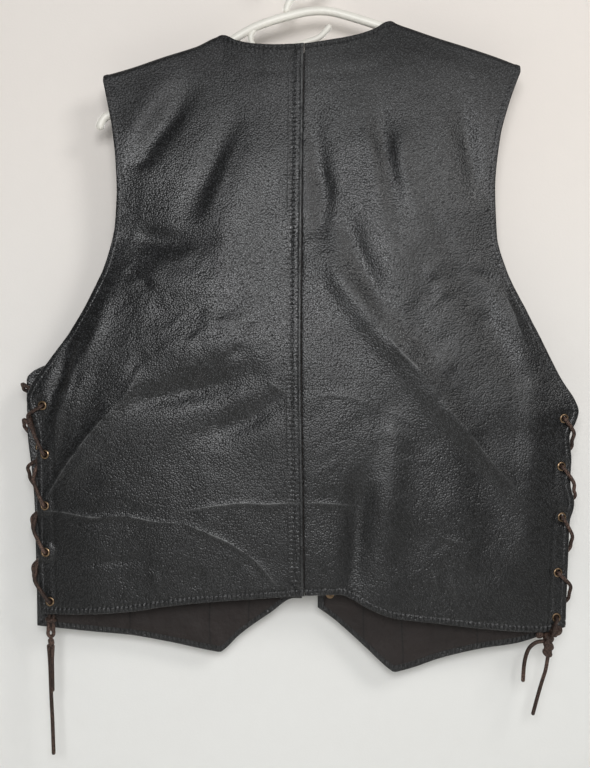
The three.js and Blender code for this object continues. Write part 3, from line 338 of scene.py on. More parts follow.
# Cores of the knots: places beside the knot's x and y, level, rise above it.
LEFT_CORE = [(-1.0, -1.0, "loop", -5.0), (0.6, -1.2, "bead", 1.0), (0.0, -1.2, "end", 0.0)]
RIGHT_CORE = [(0.6, 0.0, "top", -5.0), (0.0, 0.0, "middle", 0.0), (-0.5, 0.0, "bottom", 0.0)]
LEFT_CORE_RADIUS = 3.4
RIGHT_CORE_RADIUS = 4.6

# The laces' free ends below the knots: their routes, in metres.
FREE_ENDS = {
    "lace_left_end_short": [
        (-0.2718, -0.0033, -0.7498), (-0.2722, -0.0044, -0.763), (-0.2719, -0.0048, -0.778),
        (-0.2716, -0.0047, -0.798),
    ],
    "lace_left_end_long": [
        (-0.2762, -0.0031, -0.7495), (-0.2754, -0.0012, -0.766), (-0.2748, -0.0006, -0.785),
        (-0.2739, -0.0009, -0.806), (-0.2724, -0.0018, -0.832), (-0.271, -0.0024, -0.867),
    ],
    "lace_right_end_short": [
        (0.2585, -0.0076, -0.7426), (0.25, -0.0093, -0.7434), (0.2428, -0.009, -0.749),
        (0.239, -0.008, -0.758), (0.237, -0.007, -0.77), (0.236, -0.0065, -0.787),
    ],
    "lace_right_end_long": [
        (0.2625, -0.0075, -0.76055), (0.2602, -0.0071, -0.774), (0.2562, -0.0068, -0.787),
        (0.2515, -0.0062, -0.804), (0.2465, -0.006, -0.823),
    ],
}

# The middle of the picture, in metres.
SEEN_X = -0.0098
SEEN_Z = -0.4655

# Hanger, in the plane of its arms, as x, z.
ARM_SLOPE_RIGHT = -0.343
RIGHT_ARM_START = 60.0
RIGHT_ARM_END = 214.0
HANGER_LEFT = [(-222.5, -190), (-219, -178), (-208, -171), (-80, -93.5), (-49, -75), (16, -57.5)]
HOOK_SHANK = [(-20.5, -63), (-16.5, -52), (-9, -44.5), (2, -41.8)]
STRAP_HOOK = [(-53, -79), (-58, -90), (-52, -100), (-26, -102), (1, -95), (17, -89), (29, -76)]


class VestSizes(bpy.types.PropertyGroup):
    """Sizes that a user would change."""

    back_step: FloatProperty(
        name="Back's grid step", description="Distance between the lines of a back panel's grid",
        default=2.1 * MM, min=MM, unit="LENGTH",
    )
    front_step: FloatProperty(
        name="Front's grid step", description="Distance between the lines of a front panel's grid",
        default=3.2 * MM, min=MM, unit="LENGTH",
    )
    thong: FloatProperty(
        name="Lace diameter", description="Diameter of the leather thong",
        default=4.3 * MM, min=MM, unit="LENGTH",
    )
    crease: FloatProperty(
        name="Crease depth", description="Share of the fine creases' depth",
        default=1.0, min=0.0, subtype="FACTOR",
    )


class VestColours(bpy.types.PropertyGroup):
    """Colours of the finishes, in linear light."""

    leather: FloatVectorProperty(
        name="Leather", description="Colour of the leather's pebbles", subtype="COLOR",
        default=(0.0125, 0.013, 0.0135), min=0, max=1,
    )
    # Besides the rubbed creases, this colour is laid on the puckers' crests as a painted highlight
    leather_worn_and_crest_highlight: FloatVectorProperty(
        name="Worn leather", description="Colour of the leather where creases are rubbed", subtype="COLOR",
        default=(0.11, 0.112, 0.112), min=0, max=1,
    )
    flesh: FloatVectorProperty(
        name="Flesh side", description="Colour of the leather's unfinished inside", subtype="COLOR",
        default=(0.062, 0.041, 0.031), min=0, max=1,
    )
    lining: FloatVectorProperty(
        name="Lining", description="Colour of the lining's cloth", subtype="COLOR",
        default=(0.024, 0.0165, 0.0145), min=0, max=1,
    )
    brass: FloatVectorProperty(
        name="Brass", description="Colour of the antique brass where it is rubbed bright", subtype="COLOR",
        default=(0.34, 0.235, 0.145), min=0, max=1,
    )
    thong: FloatVectorProperty(
        name="Lace", description="Colour of the leather thong", subtype="COLOR",
        default=(0.082, 0.05, 0.038), min=0, max=1,
    )
    hanger: FloatVectorProperty(
        name="Hanger", description="Colour of the hanger's plastic", subtype="COLOR",
        default=(0.78, 0.76, 0.69), min=0, max=1,
    )
    # The upper wall colour is darker and warmer than the lower one: painted light, for the room's uneven
    # light
    wall: FloatVectorProperty(
        name="Wall", description="Colour of the wall's upper part", subtype="COLOR",
        default=(0.76, 0.71, 0.66), min=0, max=1,
    )
    wall_low: FloatVectorProperty(
        name="Lower wall", description="Colour of the wall's lower part and the floor", subtype="COLOR",
        default=(0.775, 0.775, 0.752), min=0, max=1,
    )


class VestStage(bpy.types.PropertyGroup):
    """Camera and light."""

    distance: FloatProperty(
        name="Camera distance", description="Distance from the camera to the hanger's plane",
        default=1.1, min=0.1, unit="LENGTH",
    )
    seen_height: FloatProperty(
        name="Seen height", description="Height of the hanger's plane that the picture takes in",
        default=0.8333, min=0.1, unit="LENGTH",
    )
    wall_gap: FloatProperty(
        name="Wall distance", description="Distance from the hanger's plane to the wall",
        default=0.045, min=0.0, unit="LENGTH",
    )
    key_power: FloatProperty(
        name="Key light", description="Power of the light from the upper right", default=9.0,
        min=0.0, unit="POWER",
    )
    window_power: FloatProperty(
        name="Window light", description="Power of the light above the camera", default=21.0,
        min=0.0, unit="POWER",
    )
    back_power: FloatProperty(
        name="Back light", description="Power of each light for views from behind", default=17.0,
        min=0.0, unit="POWER",
    )
    room: FloatProperty(
        name="Room light", description="Strength of the light from all round", default=0.15, min=0.0,
    )


def smoothstep(value, low, high):
    """0 below low, 1 above high, and 3 t^2 - 2 t^3 between, t being the share of the way."""
    t = np.clip((value - low) / (high - low), 0, 1)
    return t * t * (3 - 2 * t)


def mix(a, b, share):
    return a + (b - a) * share


def bell(distance, width):
    """1 where the distance is 0, falling off to both sides as exp(-(distance / width)^2)."""
    return np.exp(-((distance / width) ** 2))


def rounded_off(distance):
    """Share of its full height that leather has at a distance from its edge: a quarter circle."""
    return np.sqrt(np.maximum(1 - (1 - np.clip(distance / EDGE_ROUND, 0, 1)) ** 2, 0))


def through(rows):
    """A cubic curve through rows of place and value that never swings past them.

    The slope at a row is the harmonic mean of the slopes beside it, or 0 where they differ in sign.
    """
    places, values = np.array(sorted(rows), float).T
    slope = np.diff(values) / np.diff(places)
    before, after = slope[:-1], slope[1:]
    total = before + after
    safe = np.where(np.abs(total) < 1e-9, 1, total)
    inner = np.where(before * after > 0, 2 * before * after / safe, 0)
    tangent = np.concatenate([slope[:1], inner, slope[-1:]])

    def curve(at):
        t = np.clip(np.asarray(at, float), places[0], places[-1])
        i = np.clip(np.searchsorted(places, t, side="right") - 1, 0, len(slope) - 1)
        h = places[i + 1] - places[i]
        s = (t - places[i]) / h
        rise = values[i + 1] - values[i]
        bend = h * s * (1 - s) * ((1 - s) * tangent[i] - s * tangent[i + 1])
        return values[i] + rise * s * s * (3 - 2 * s) + bend

    return curve


def lattice_noise(x, z, cell, seed):
    """Smooth noise from -1 to 1: random values on a square lattice, blended by 3 t^2 - 2 t^3."""
    count = 128
    table = np.random.default_rng(seed).uniform(-1, 1, (count, count))
    gx, gz = x / cell + 40, z / cell + 300
    ix, iz = np.floor(gx).astype(int), np.floor(gz).astype(int)
    sx = smoothstep(gx - ix, 0, 1)
    sz = smoothstep(gz - iz, 0, 1)
    high = mix(table[ix % count, iz % count], table[(ix + 1) % count, iz % count], sx)
    low = mix(table[ix % count, (iz + 1) % count], table[(ix + 1) % count, (iz + 1) % count], sx)
    return mix(high, low, sz)


def curve_of(row, passes):
    """Points of a row's quadratic curve. Its middle point is where the curve bends towards or,
    where passes is set, a point that it goes through."""
    t = np.linspace(0, 1, 21)[:, None]
    start, middle, end = (np.array(row[k:k + 2], float) for k in (1, 3, 5))
    if passes:
        middle = 2 * middle - (start + end) / 2
    return (1 - t) ** 2 * start + 2 * t * (1 - t) * middle + t * t * end


def nearest_on(curve, x, z, reach):
    """Which places lie within reach of a curve and, for those, their distance to it, the share of
    the way along it at the nearest point, and their side of it, 1 or -1."""
    low, high = curve.min(axis=0) - reach, curve.max(axis=0) + reach
    near = (x > low[0]) & (x < high[0]) & (z > low[1]) & (z < high[1])
    a, b = curve[:-1], np.diff(curve, axis=0)
    dx, dz = x[near][:, None] - a[:, 0], z[near][:, None] - a[:, 1]
    s = np.clip((dx * b[:, 0] + dz * b[:, 1]) / (b**2).sum(axis=1), 0, 1)
    distance = np.hypot(dx - s * b[:, 0], dz - s * b[:, 1])
    best = distance.argmin(axis=1)
    pick = np.arange(len(best))
    turn = b[best, 0] * dz[pick, best] - b[best, 1] * dx[pick, best]
    return near, distance[pick, best], (best + s[pick, best]) / len(a), np.where(turn < 0, -1.0, 1.0)


def fold_field(rows, x, z, end_share, passes=False):
    """Sum of rounded ridges and dips round curves: lift * (end + (1 - end) sin(pi t)) *
    bell(d, width), where d is the distance to the curve and t the share of the way along."""
    total = np.zeros(np.shape(x))
    for row in rows:
        width, lift = row[7:9]
        near, distance, place, _ = nearest_on(curve_of(row, passes), x, z, 2.8 * width)
        share = end_share + (1 - end_share) * np.sin(np.pi * place)
        total[near] += lift * share * bell(distance, width)
    return total


def rubbed_lines(rows, x, z, reach=12.0):
    """Signed distance to the nearest rubbed crease, and how far that one is rubbed there. The
    distance crosses 0 evenly, so that a coarse grid carries a thin line."""
    signed = np.full(np.shape(x), reach)
    rubbed = np.zeros(np.shape(x))
    for row in rows:
        if not row[9]:
            continue
        near, distance, place, side = nearest_on(curve_of(row, True), x, z, reach)
        closer = distance < np.abs(signed[near])
        signed[near] = np.where(closer, side * distance, signed[near])
        rubbed[near] = np.where(closer, row[9] * (0.35 + 0.65 * np.sin(np.pi * place)), rubbed[near])
    return signed, rubbed


def unit(vectors):
    return vectors / np.maximum(np.linalg.norm(vectors, axis=-1, keepdims=True), 1e-12)


top_line = through(TOP_LINE)
back_bulge = through(BACK_BULGE)
front_bulge = through(FRONT_BULGE)


def slope_of(curve, at, step=1.0):
    return (curve(at + step) - curve(at - step)) / (2 * step)


def hanger_line():
    """Corners of the hanger's bent tube, from its left tip to its right end, as x, y, z."""
    drop = ROLL / math.cos(math.atan(ARM_SLOPE_RIGHT))
    start = top_line(NECK_RIGHT) - drop
    right = [(x, start + (x - NECK_RIGHT) * ARM_SLOPE_RIGHT) for x in (RIGHT_ARM_START, RIGHT_ARM_END)]
    return np.array([(x, 0.0, z) for x, z in HANGER_LEFT + right])


class LeatherPanel:
    """A panel as a surface over u, from its middle edge (0) to its side edge (1), and v, from its
    top (0) to its hem (1)."""

    def __init__(self, name, crease_share=1.0):
        cut = CUTS[name]
        self.name = name
        self.side = -1 if "left" in name else 1
        self.face = -1 if "back" in name else 1
        self.cut = cut
        self.crease_share = crease_share
        self.outer_x = through(cut["outer"])
        self.inner_x = through(cut["inner"])
        self.hem_z = through(cut["hem"])
        self.inset = through(cut["eyelets"])
        self.seam = self.side * GAP / 2
        self.base = ROLL if self.face < 0 else FRONT_ROLL
        self.outer_top = top_line(cut["outer"][0][1]) - ROLL
        self.outer_end = cut["outer"][-1][0]
        self.inner_top = top_line(cut["inner"][0][1]) - ROLL
        self.inner_end = cut["inner"][-1][0]
        self.neck_x = NECK_LEFT if self.side < 0 else NECK_RIGHT
        self.seats = self.find_seats()

    def at(self, u, v):
        """Coons patch: the sum of the two ruled surfaces between opposite edges, less the bilinear
        one through the corners, as x, z."""
        outer_z = mix(self.outer_top, self.outer_end, v)
        inner_z = mix(self.inner_top, self.inner_end, v)
        outer = (self.outer_x(outer_z), outer_z)
        inner = (self.inner_x(inner_z) + self.seam, inner_z)
        x00, x10 = self.inner_x(self.inner_top) + self.seam, self.outer_x(self.outer_top)
        x01, x11 = self.inner_x(self.inner_end) + self.seam, self.outer_x(self.outer_end)
        top_x, hem_x = mix(x00, x10, u), mix(x01, x11, u)
        top = (top_x, top_line(top_x) - ROLL)
        hem = (hem_x, self.hem_z(hem_x))
        corners = (
            (x00, x10, x01, x11),
            (top_line(x00) - ROLL, top_line(x10) - ROLL, self.hem_z(x01), self.hem_z(x11)),
        )
        both = []
        for k in range(2):
            c00, c10, c01, c11 = corners[k]
            flat = (1 - v) * mix(c00, c10, u) + v * mix(c01, c11, u)
            both.append((1 - u) * inner[k] + u * outer[k] + (1 - v) * top[k] + v * hem[k] - flat)
        return both

    def width(self, v):
        return np.abs(self.at(0.0, v)[0] - self.at(1.0, v)[0])

    def depth(self, x, z):
        """Distance of the leather's middle from the hanger's plane, fine creases left out: roll,
        bulge by the distance below the top, fading to the side as 1 - share^3, neck and folds."""
        back = self.face < 0
        across_neck = np.minimum(np.abs(x / self.neck_x), 1)
        line_x = x if back else np.where(across_neck >= 1, x, self.neck_x)
        below = np.maximum(top_line(line_x) - ROLL - z, 0)
        across = np.minimum(np.abs(x / self.outer_x(z)), 1)
        bulge = (back_bulge if back else front_bulge)(below) * (1 - across**3)
        neck = NECK_DEPTH * (1 - across_neck**2) * np.exp(-below / 60) if back else 0
        folds = fold_field(BACK_FOLDS if back else FRONT_FOLDS, x, z, 0.35)
        settle = smoothstep(below, 0, 50) * (0.4 + 0.6 * smoothstep(z, -735, -660))
        return self.base + bulge + neck + folds * settle

    def find_seats(self):
        """The flat places of eyelets and snaps: four points round each, levelled to their plane."""

        def level(z):
            return (z - self.outer_top) / (self.outer_end - self.outer_top)

        bands = [(level(z + SEAT / 2), level(z - SEAT / 2)) for z, _ in self.cut["eyelets"]]
        height = bands[0][1] - bands[0][0]
        seats = [self.level_seat("eyelet", band) for band in bands]
        if self.face < 0:
            return seats
        for z in SNAP_LEVELS:
            middle = (z - self.inner_top) / (self.inner_end - self.inner_top)
            shared = [b for b in bands if b[0] - height / 2 < middle < b[1] + height / 2]
            band = shared[0] if shared else (middle - height / 2, middle + height / 2)
            seats.append(self.level_seat("snap", band))
        return seats

    def level_seat(self, kind, band):
        corners = []
        for v in band:
            width = self.width(v)
            if kind == "eyelet":
                inset = self.inset(mix(self.outer_top, self.outer_end, v))
                shares = [1 - (inset - SEAT / 2) / width, 1 - (inset + SEAT / 2) / width]
            else:
                shares = [STRIP / width, (STRIP - SEAT) / width]
            for u in shares:
                x, z = self.at(u, v)
                y = self.face * self.depth(np.array([x]), np.array([z]))[0]
                corners.append((float(x), y, float(z)))
        a, b, d, c = np.array(corners)
        centre = (a + b + c + d) / 4
        normal = unit(np.cross(c - a, d - b))
        if normal[1] * self.face < 0:
            normal = -normal
        return {"kind": kind, "centre": centre, "normal": normal}

    def seat_weight(self, x, z):
        """For each place, 1 on a seat and 0 away from all, and the seats' plane there."""
        weight = np.zeros(np.shape(x))
        plane = np.zeros(np.shape(x))
        for seat in self.seats:
            (cx, cy, cz), (nx, ny, nz) = seat["centre"], seat["normal"]
            share = 1 - smoothstep(np.hypot(x - cx, z - cz), SEAT_FLAT, SEAT_REACH)
            here = share > weight
            plane = np.where(here, cy - ((x - cx) * nx + (z - cz) * nz) / ny, plane)
            weight = np.where(here, share, weight)
        return weight, plane

    def edge_distances(self, x, z):
        """Distances from the side edge, the middle edge, the hem and the neck's edge."""
        side = (self.outer_x(z) - x) * self.side / np.hypot(1, slope_of(self.outer_x, z))
        middle = (x - self.inner_x(z)) * self.side / np.hypot(1, slope_of(self.inner_x, z))
        hem = (z - self.hem_z(x)) / np.hypot(1, slope_of(self.hem_z, x))
        on_neck = (np.abs(x) < abs(self.neck_x)) & (self.face < 0)
        neck = np.where(on_neck, top_line(x) - z, NO_EDGE)
        return side, middle, hem, neck

    def crease_rows(self):
        return BACK_CREASES if self.face < 0 else FRONT_CREASES

    def warped(self, x, z):
        """Places moved a little, so that creases drawn there waver."""
        return x + 3 * lattice_noise(x, z, 38, 11), z + 3 * lattice_noise(x, z, 38, 12)

    def creases(self, x, z):
        """Fine creases, crumples and the leather's own unevenness, in millimetres out of the vest."""
        warp_x, warp_z = self.warped(x, z)
        height = fold_field(self.crease_rows(), warp_x, warp_z, 0.0, True)
        for lift, size, seed in UNEVENNESS:
            height += lift * lattice_noise(x, z, size, seed)
        along, across = 0.77 * warp_x + 0.64 * warp_z, 0.77 * warp_z - 0.64 * warp_x
        ripples = lattice_noise(along / 2.2, across, 15, 24) + 0.4 * lattice_noise(x, z, 10, 25)
        crumple = 0.3 - np.abs(ripples)
        for _, cx, cz, rx, rz, lift in CRUMPLES:
            height += lift * crumple * np.exp(-(((x - cx) / rx) ** 2) - ((z - cz) / rz) ** 2)
        return height * self.crease_share

    def middle_y(self, x, z):
        """The leather's middle as y: depth and creases, calmed at the top, the hem and the seats."""
        crest = top_line(x) - ROLL
        settle = smoothstep(crest - z, 0, 25)
        y = self.face * (self.depth(x, np.minimum(z, crest)) + self.creases(x, z) * settle)
        weight, plane = self.seat_weight(x, z)
        return mix(y, plane, weight)

    def relief(self, x, z):
        """What the outside of the leather stands above its middle: half the leather, rounded off
        at the edges, the turned edges with a groove under their stitching, and the seam's band."""
        side, middle, hem, neck = self.edge_distances(x, z)
        edge = self.sewn_edge(side, middle, hem, neck)
        rounding = rounded_off(np.minimum(edge, middle))
        height = LEATHER / 2 * (0.3 + 0.7 * rounding)
        height += EDGE_RISE * (1 - smoothstep(edge, *EDGE_SLOPE)) * rounding
        free_middle = middle if self.face > 0 else np.full(np.shape(x), NO_EDGE)
        sewn = ((side, EDGE_STITCH), (hem, HEM_STITCH), (neck, NECK_STITCH), (free_middle, EDGE_STITCH))
        for distance, line in sewn:
            height -= GROOVE_DEPTH * bell(distance - line, GROOVE_WIDTH)
        height += 0.3 * lattice_noise(x, z, 8, 32) * bell(edge, 9)
        facing = bell(side - FACING_STITCH, 0.9)
        height -= 0.8 * facing * smoothstep(-z, -FACING_TOP, -FACING_TOP + 14)
        if self.name == "back_left":
            height += SEAM_BAND_RISE * (1 - smoothstep(middle, SEAM_BAND - 1.5, SEAM_STITCH))
            for _, place, width, lift in SEAM_RELIEF:
                height += lift * bell(middle - place, width)
        if self.name == "back_right":
            height -= 0.45 * bell(middle, 2.2)
            height += 0.25 * lattice_noise(x, z, 7, 34) * bell(middle, 7)
        return height

    def sewn_edge(self, side, middle, hem, neck):
        """Distance from the nearest edge that is turned and stitched."""
        edge = np.minimum(side, np.minimum(hem, neck))
        return edge if self.face < 0 else np.minimum(edge, middle)

    def puckers(self, x, z):
        """How far the leather puckers between stitches, and the stitches' count up to each place."""
        side, middle, hem, neck = self.edge_distances(x, z)
        edge = self.sewn_edge(side, middle, hem, neck)
        rows = np.where(side < np.minimum(hem, neck), z, x)
        if self.name == "back_left":
            on_band = middle < np.minimum(edge, SEAM_STITCH + 5)
            edge = np.where(on_band, middle - SEAM_STITCH + 6.0, edge)
            rows = np.where(on_band, z, rows)
        strength = bell(edge - 4.6, 2.6) + 0.3 * bell(edge - 9.0, 2.5)
        at_side = np.where(side < np.minimum(hem, neck), 1.0, 0.0)
        if self.name == "back_left":
            at_side = np.where(on_band, 0.0, at_side)
            strength *= np.where(on_band, 0.8, 1.0)
        strength *= 1 - at_side * (0.65 + 0.3 * smoothstep(-z, 380, 420))
        return strength, rows / STITCH_PITCH

    def rubbing(self, x, z):
        """Distance to the nearest rubbed crease, or to the lip of the centre seam, and how far it is
        rubbed there. The creases waver as their relief does."""
        signed, rubbed = rubbed_lines(self.crease_rows(), *self.warped(x, z))
        if self.name == "back_left":
            lip = self.edge_distances(x, z)[1] - SEAM_LIP
            nearer = np.abs(lip) < np.abs(signed)
            rubbed = np.where(nearer, mix(0.6, 0.3, smoothstep(-z, 150, 600)), rubbed)
            signed = np.where(nearer, lip, signed)
        return signed, rubbed

    def skin(self, x, z, inside=False):
        """Points on the panel's outside or inside, and the directions out of it there."""
        step = 0.8

        def middle(px, pz):
            return np.stack([px, self.middle_y(px, pz), pz], axis=-1)

        point = middle(x, z)
        across = middle(x + step, z) - middle(x - step, z)
        down = middle(x, z + step) - middle(x, z - step)
        normal = unit(np.cross(across, down))
        normal *= np.sign(normal[..., 1:2] * self.face)
        if inside:
            return point - normal * LEATHER / 2, -normal
        return point + normal * self.relief(x, z)[..., None], normal

    def edge_place(self, z):
        """The leather's middle on the side edge, the direction out of the leather and of the edge."""
        x = float(self.outer_x(z))
        places = np.array([x, x - 8 * self.side])
        levels = np.array([z, z])
        y = self.face * self.depth(places, levels)
        point = np.array([x, y[0], z])
        out = unit(point - np.array([places[1], y[1], z]))
        normal = unit(np.array([-out[1], out[0], 0.0]))
        if normal[1] * self.face < 0:
            normal = -normal
        return point, normal, out

    def grid(self, step):
        """The leather's middle as a grid of points, their normals and the share of each row that
        is turned over the hanger's arm: rows from the shoulder seam to the hem."""
        steps = np.array(EDGE_STEPS)
        even = np.linspace(0, 1 - HEM_ROWS / PANEL_HEIGHT, int((PANEL_HEIGHT - 20) / step))
        v = np.array(sorted({*even, *(1 - steps / PANEL_HEIGHT)}))[:, None]
        width = self.width(v)
        slant = np.hypot(1, slope_of(self.outer_x, mix(self.outer_top, self.outer_end, v), 4.0))
        count = int((PANEL_WIDTH - 2 * steps[-1]) / step)
        high, low = 1 - steps[-1] * slant / width, steps[-1] / width
        inside = mix(low, high, np.linspace(0, 1, count)[None, 1:-1])
        u = np.concatenate([steps[None, :] / width, inside, 1 - steps[None, ::-1] * slant / width], axis=1)
        x, z = self.at(u, np.broadcast_to(v, u.shape))
        flat = np.stack([x, self.middle_y(x, z), z], axis=-1)
        turned = self.turned_rows(flat[0])
        grid = self.clear_of_hanger(np.concatenate([turned, flat]))
        normal = unit(np.cross(np.gradient(grid, axis=1), np.gradient(grid, axis=0)))
        if normal[len(normal) // 2, 10, 1] * self.face < 0:
            normal = -normal
        return grid, normal, len(turned)

    def turned_rows(self, first):
        """Rows over the hanger's arm, at angles from straight up towards the panel's face. Beyond
        the neck point they lie on a circle of the roll's radius, and along the neck they go
        straight up."""
        back = self.face < 0
        start = -30.0 if back else 30 + math.degrees(GAP / (ROLL - LEATHER / 2))
        count = 15 if back else 8
        angles = np.radians(np.linspace(start, 90, count + 1)[:-1])[:, None]
        x, y, angles = np.broadcast_arrays(first[None, :, 0], first[None, :, 1], angles)
        crest = top_line(x) - ROLL
        stand = mix(ROLL, self.base, np.maximum(angles / (np.pi / 2), 0))
        share = 1 - np.arange(count)[:, None] / count + 0 * x
        rolled_y, rolled_z = self.face * stand * np.sin(angles), crest + ROLL * np.cos(angles)
        turn = smoothstep(np.abs(x), abs(self.neck_x), abs(self.neck_x) + NECK_TURN)
        turned_y = mix(y, rolled_y, turn)
        turned_z = mix(crest + ROLL * share, rolled_z, turn)
        return np.stack([x, turned_y, turned_z], axis=-1)

    def clear_of_hanger(self, grid):
        """Near the neck points the leather's middle is moved out to a roll's radius from the tube."""
        clearance = ROLL + NECK_CLEARANCE
        near = np.abs(grid[..., 0] - self.neck_x) < 2 * NECK_TURN
        near &= grid[..., 2] > top_line(self.neck_x) - 40
        points = grid[near]
        line = hanger_line()
        for start, end in zip(line[2:-2], line[3:-1]):
            along = end - start
            share = np.clip((points - start) @ along / (along @ along), 0, 1)[:, None]
            away = points - start - share * along
            length = np.linalg.norm(away, axis=1, keepdims=True)
            pushed = start + share * along + away / length * clearance
            points = np.where(length < clearance, pushed, points)
        grid[near] = points
        return grid


def grid_quads(rows, columns, first=0, closed=False):
    """Faces between the points of a grid, which may close on itself across its columns."""
    i = np.arange(rows - 1)[:, None] * columns
    j = np.arange(columns if closed else columns - 1)[None, :]
    after = (j + 1) % columns
    return first + np.stack([i + j, i + after, i + columns + after, i + columns + j], axis=-1).reshape(-1, 4)


def signed_volume(points, quads):
    a, b, c, d = (points[quads[:, k]] for k in range(4))
    return (np.einsum("ij,ij->i", a, np.cross(b, c)) + np.einsum("ij,ij->i", a, np.cross(c, d))).sum() / 6


def new_piece(name, points, quads, materials, merge=False):
    """A mesh object of points in millimetres, its faces turned outwards."""
    if signed_volume(points, quads) < 0:
        quads = quads[:, ::-1]
    mesh = bpy.data.meshes.new(name)
    mesh.vertices.add(len(points))
    mesh.vertices.foreach_set("co", (points * MM).astype(np.float32).ravel())
    mesh.loops.add(quads.size)
    mesh.loops.foreach_set("vertex_index", np.ascontiguousarray(quads, np.int32).ravel())
    mesh.polygons.add(len(quads))
    mesh.polygons.foreach_set("loop_start", np.arange(0, quads.size, 4, dtype=np.int32))
    mesh.update(calc_edges=True)
    if merge:
        merge_doubles(mesh)
    mesh.shade_smooth()
    for material in materials:
        mesh.materials.append(material)
    piece = bpy.data.objects.new(name, mesh)
    bpy.context.scene.collection.objects.link(piece)
    return piece


def store(piece, key, values):
    """Keeps a value for each point of the piece, for its material."""
    attribute = piece.data.attributes.new(key, "FLOAT", "POINT")
    attribute.data.foreach_set("value", np.ascontiguousarray(values, np.float32).ravel())


def merge_doubles(mesh):
    work = bmesh.new()
    work.from_mesh(mesh)
    bmesh.ops.remove_doubles(work, verts=work.verts, dist=1e-6)
    work.to_mesh(mesh)
    work.free()


def shell(name, outside, inside, materials):
    """A closed wall between two grids of points, with its edge closed all round."""
    rows, columns = outside.shape[:2]
    layer = rows * columns
    points = np.concatenate([outside.reshape(-1, 3), inside.reshape(-1, 3)])
    rim = np.concatenate([
        np.arange(columns), np.arange(1, rows) * columns + columns - 1,
        np.arange(columns - 2, -1, -1) + (rows - 1) * columns, np.arange(rows - 2, 0, -1) * columns,
    ])
    after = np.roll(rim, -1)
    top = grid_quads(rows, columns)
    sides = np.stack([after, rim, rim + layer, after + layer], axis=-1)
    quads = np.concatenate([top, top[:, ::-1] + layer, sides])
    piece = new_piece(name, points, quads, materials)
    faces = np.zeros(len(quads), np.int32)
    if len(materials) > 1:
        faces[len(top):2 * len(top)] = 1
    piece.data.polygons.foreach_set("material_index", faces)
    return piece


def catmull_rom(corners, count):
    """Points of the Catmull-Rom curve between all corners but the outer two, count in each gap."""
    t = np.linspace(0, 1, count, endpoint=False)[None, :, None]
    a, b, c, d = (corners[k:len(corners) - 3 + k][:, None, :] for k in range(4))
    curve = 0.5 * (2 * b + (c - a) * t + (2 * a - 5 * b + 4 * c - d) * t**2 + (3 * b - a - 3 * c + d) * t**3)
    return curve.reshape(-1, corners.shape[1])


def smooth_path(corners, step):
    """A smooth curve through the corners, as points a step apart."""
    outer = np.concatenate([[2 * corners[0] - corners[1]], corners, [2 * corners[-1] - corners[-2]]])
    return resample(np.concatenate([catmull_rom(outer, 24), corners[-1:]]), step)


def resample(line, step):
    """A line's points at even steps along it."""
    length = np.concatenate([[0], np.cumsum(np.linalg.norm(np.diff(line, axis=0), axis=1))])
    places = np.linspace(0, length[-1], max(int(round(length[-1] / step)), 2) + 1)
    return np.stack([np.interp(places, length, line[:, k]) for k in range(line.shape[1])], axis=-1)


def rounded_corners(corners, reach):
    """A line whose corners are quadratic curves between points a reach away on both sides."""
    t = np.linspace(0, 1, 13)[:, None]
    pieces = [corners[:1]]
    for before, corner, after in zip(corners[:-2], corners[1:-1], corners[2:]):
        back, forth = before - corner, after - corner
        start = corner + unit(back) * min(reach, 0.48 * np.linalg.norm(back))
        end = corner + unit(forth) * min(reach, 0.48 * np.linalg.norm(forth))
        pieces.append((1 - t) ** 2 * start + 2 * t * (1 - t) * corner + t * t * end)
    pieces.append(corners[-1:])
    return np.concatenate(pieces)


def carried_frames(path):
    """Two directions across a path at each of its points, carried along it without twisting."""
    tangent = unit(np.gradient(path, axis=0))
    first = np.cross(tangent[0], [0.3, 0.8, 0.52])
    across = [unit(first)]
    for direction in tangent[1:]:
        flat = across[-1] - direction * (across[-1] @ direction)
        across.append(unit(flat))
    across = np.array(across)
    return across, np.cross(tangent, across)


def tube(name, path, radius, sides, materials, squareness=0.0, round_ends=True):
    """A section carried along a path. The section is a circle, drawn towards a rounded square
    by squareness: r = radius (1 - squareness/2 cos^2(2 a)). Round ends close it as half balls."""
    path = np.asarray(path, float)
    radii = np.broadcast_to(np.asarray(radius, float), (len(path),)).copy()
    if round_ends:
        turns = np.radians([90, 60, 30, 0])
        start, end = unit(path[0] - path[1]), unit(path[-1] - path[-2])
        head = path[0] + start * (np.sin(turns) - 1)[:, None] * radii[0]
        tail = path[-1] + end * (np.sin(turns) - 1)[::-1, None] * radii[-1]
        keep = slice(max(int(np.ceil(radii[0] / np.linalg.norm(path[1] - path[0]))), 1), None)
        body, body_radii = path[keep], radii[keep]
        cut = max(int(np.ceil(radii[-1] / np.linalg.norm(path[-1] - path[-2]))), 1)
        body, body_radii = body[:-cut], body_radii[:-cut]
        path = np.concatenate([head, body, tail])
        radii = np.concatenate([radii[0] * np.cos(turns), body_radii, radii[-1] * np.cos(turns)[::-1]])
    across, up = carried_frames(path)
    a = np.arange(sides) / sides * 2 * np.pi
    shape = 1 - squareness / 2 * np.cos(2 * a) ** 2
    ring = across[:, None, :] * np.cos(a)[None, :, None] + up[:, None, :] * np.sin(a)[None, :, None]
    points = path[:, None, :] + ring * (radii[:, None] * shape[None, :])[..., None]
    quads = grid_quads(len(path), sides, closed=True)
    return new_piece(name, points.reshape(-1, 3), quads, materials, merge=True)


def turned_shape(name, profile, seat, sides, materials):
    """A profile of radius, height turned round the seat's normal and set on its centre."""
    radius, height = np.array(profile, float).T
    normal = seat["normal"]
    across = unit(np.cross(normal, [0.0, 0.0, 1.0]))
    up = np.cross(normal, across)
    a = np.arange(sides) / sides * 2 * np.pi
    ring = across * np.cos(a)[:, None] + up * np.sin(a)[:, None]
    points = seat["centre"] + ring[None] * radius[:, None, None] + normal * height[:, None, None]
    quads = grid_quads(len(profile), sides, closed=True)
    return new_piece(name, points.reshape(-1, 3), quads, materials, merge=True)


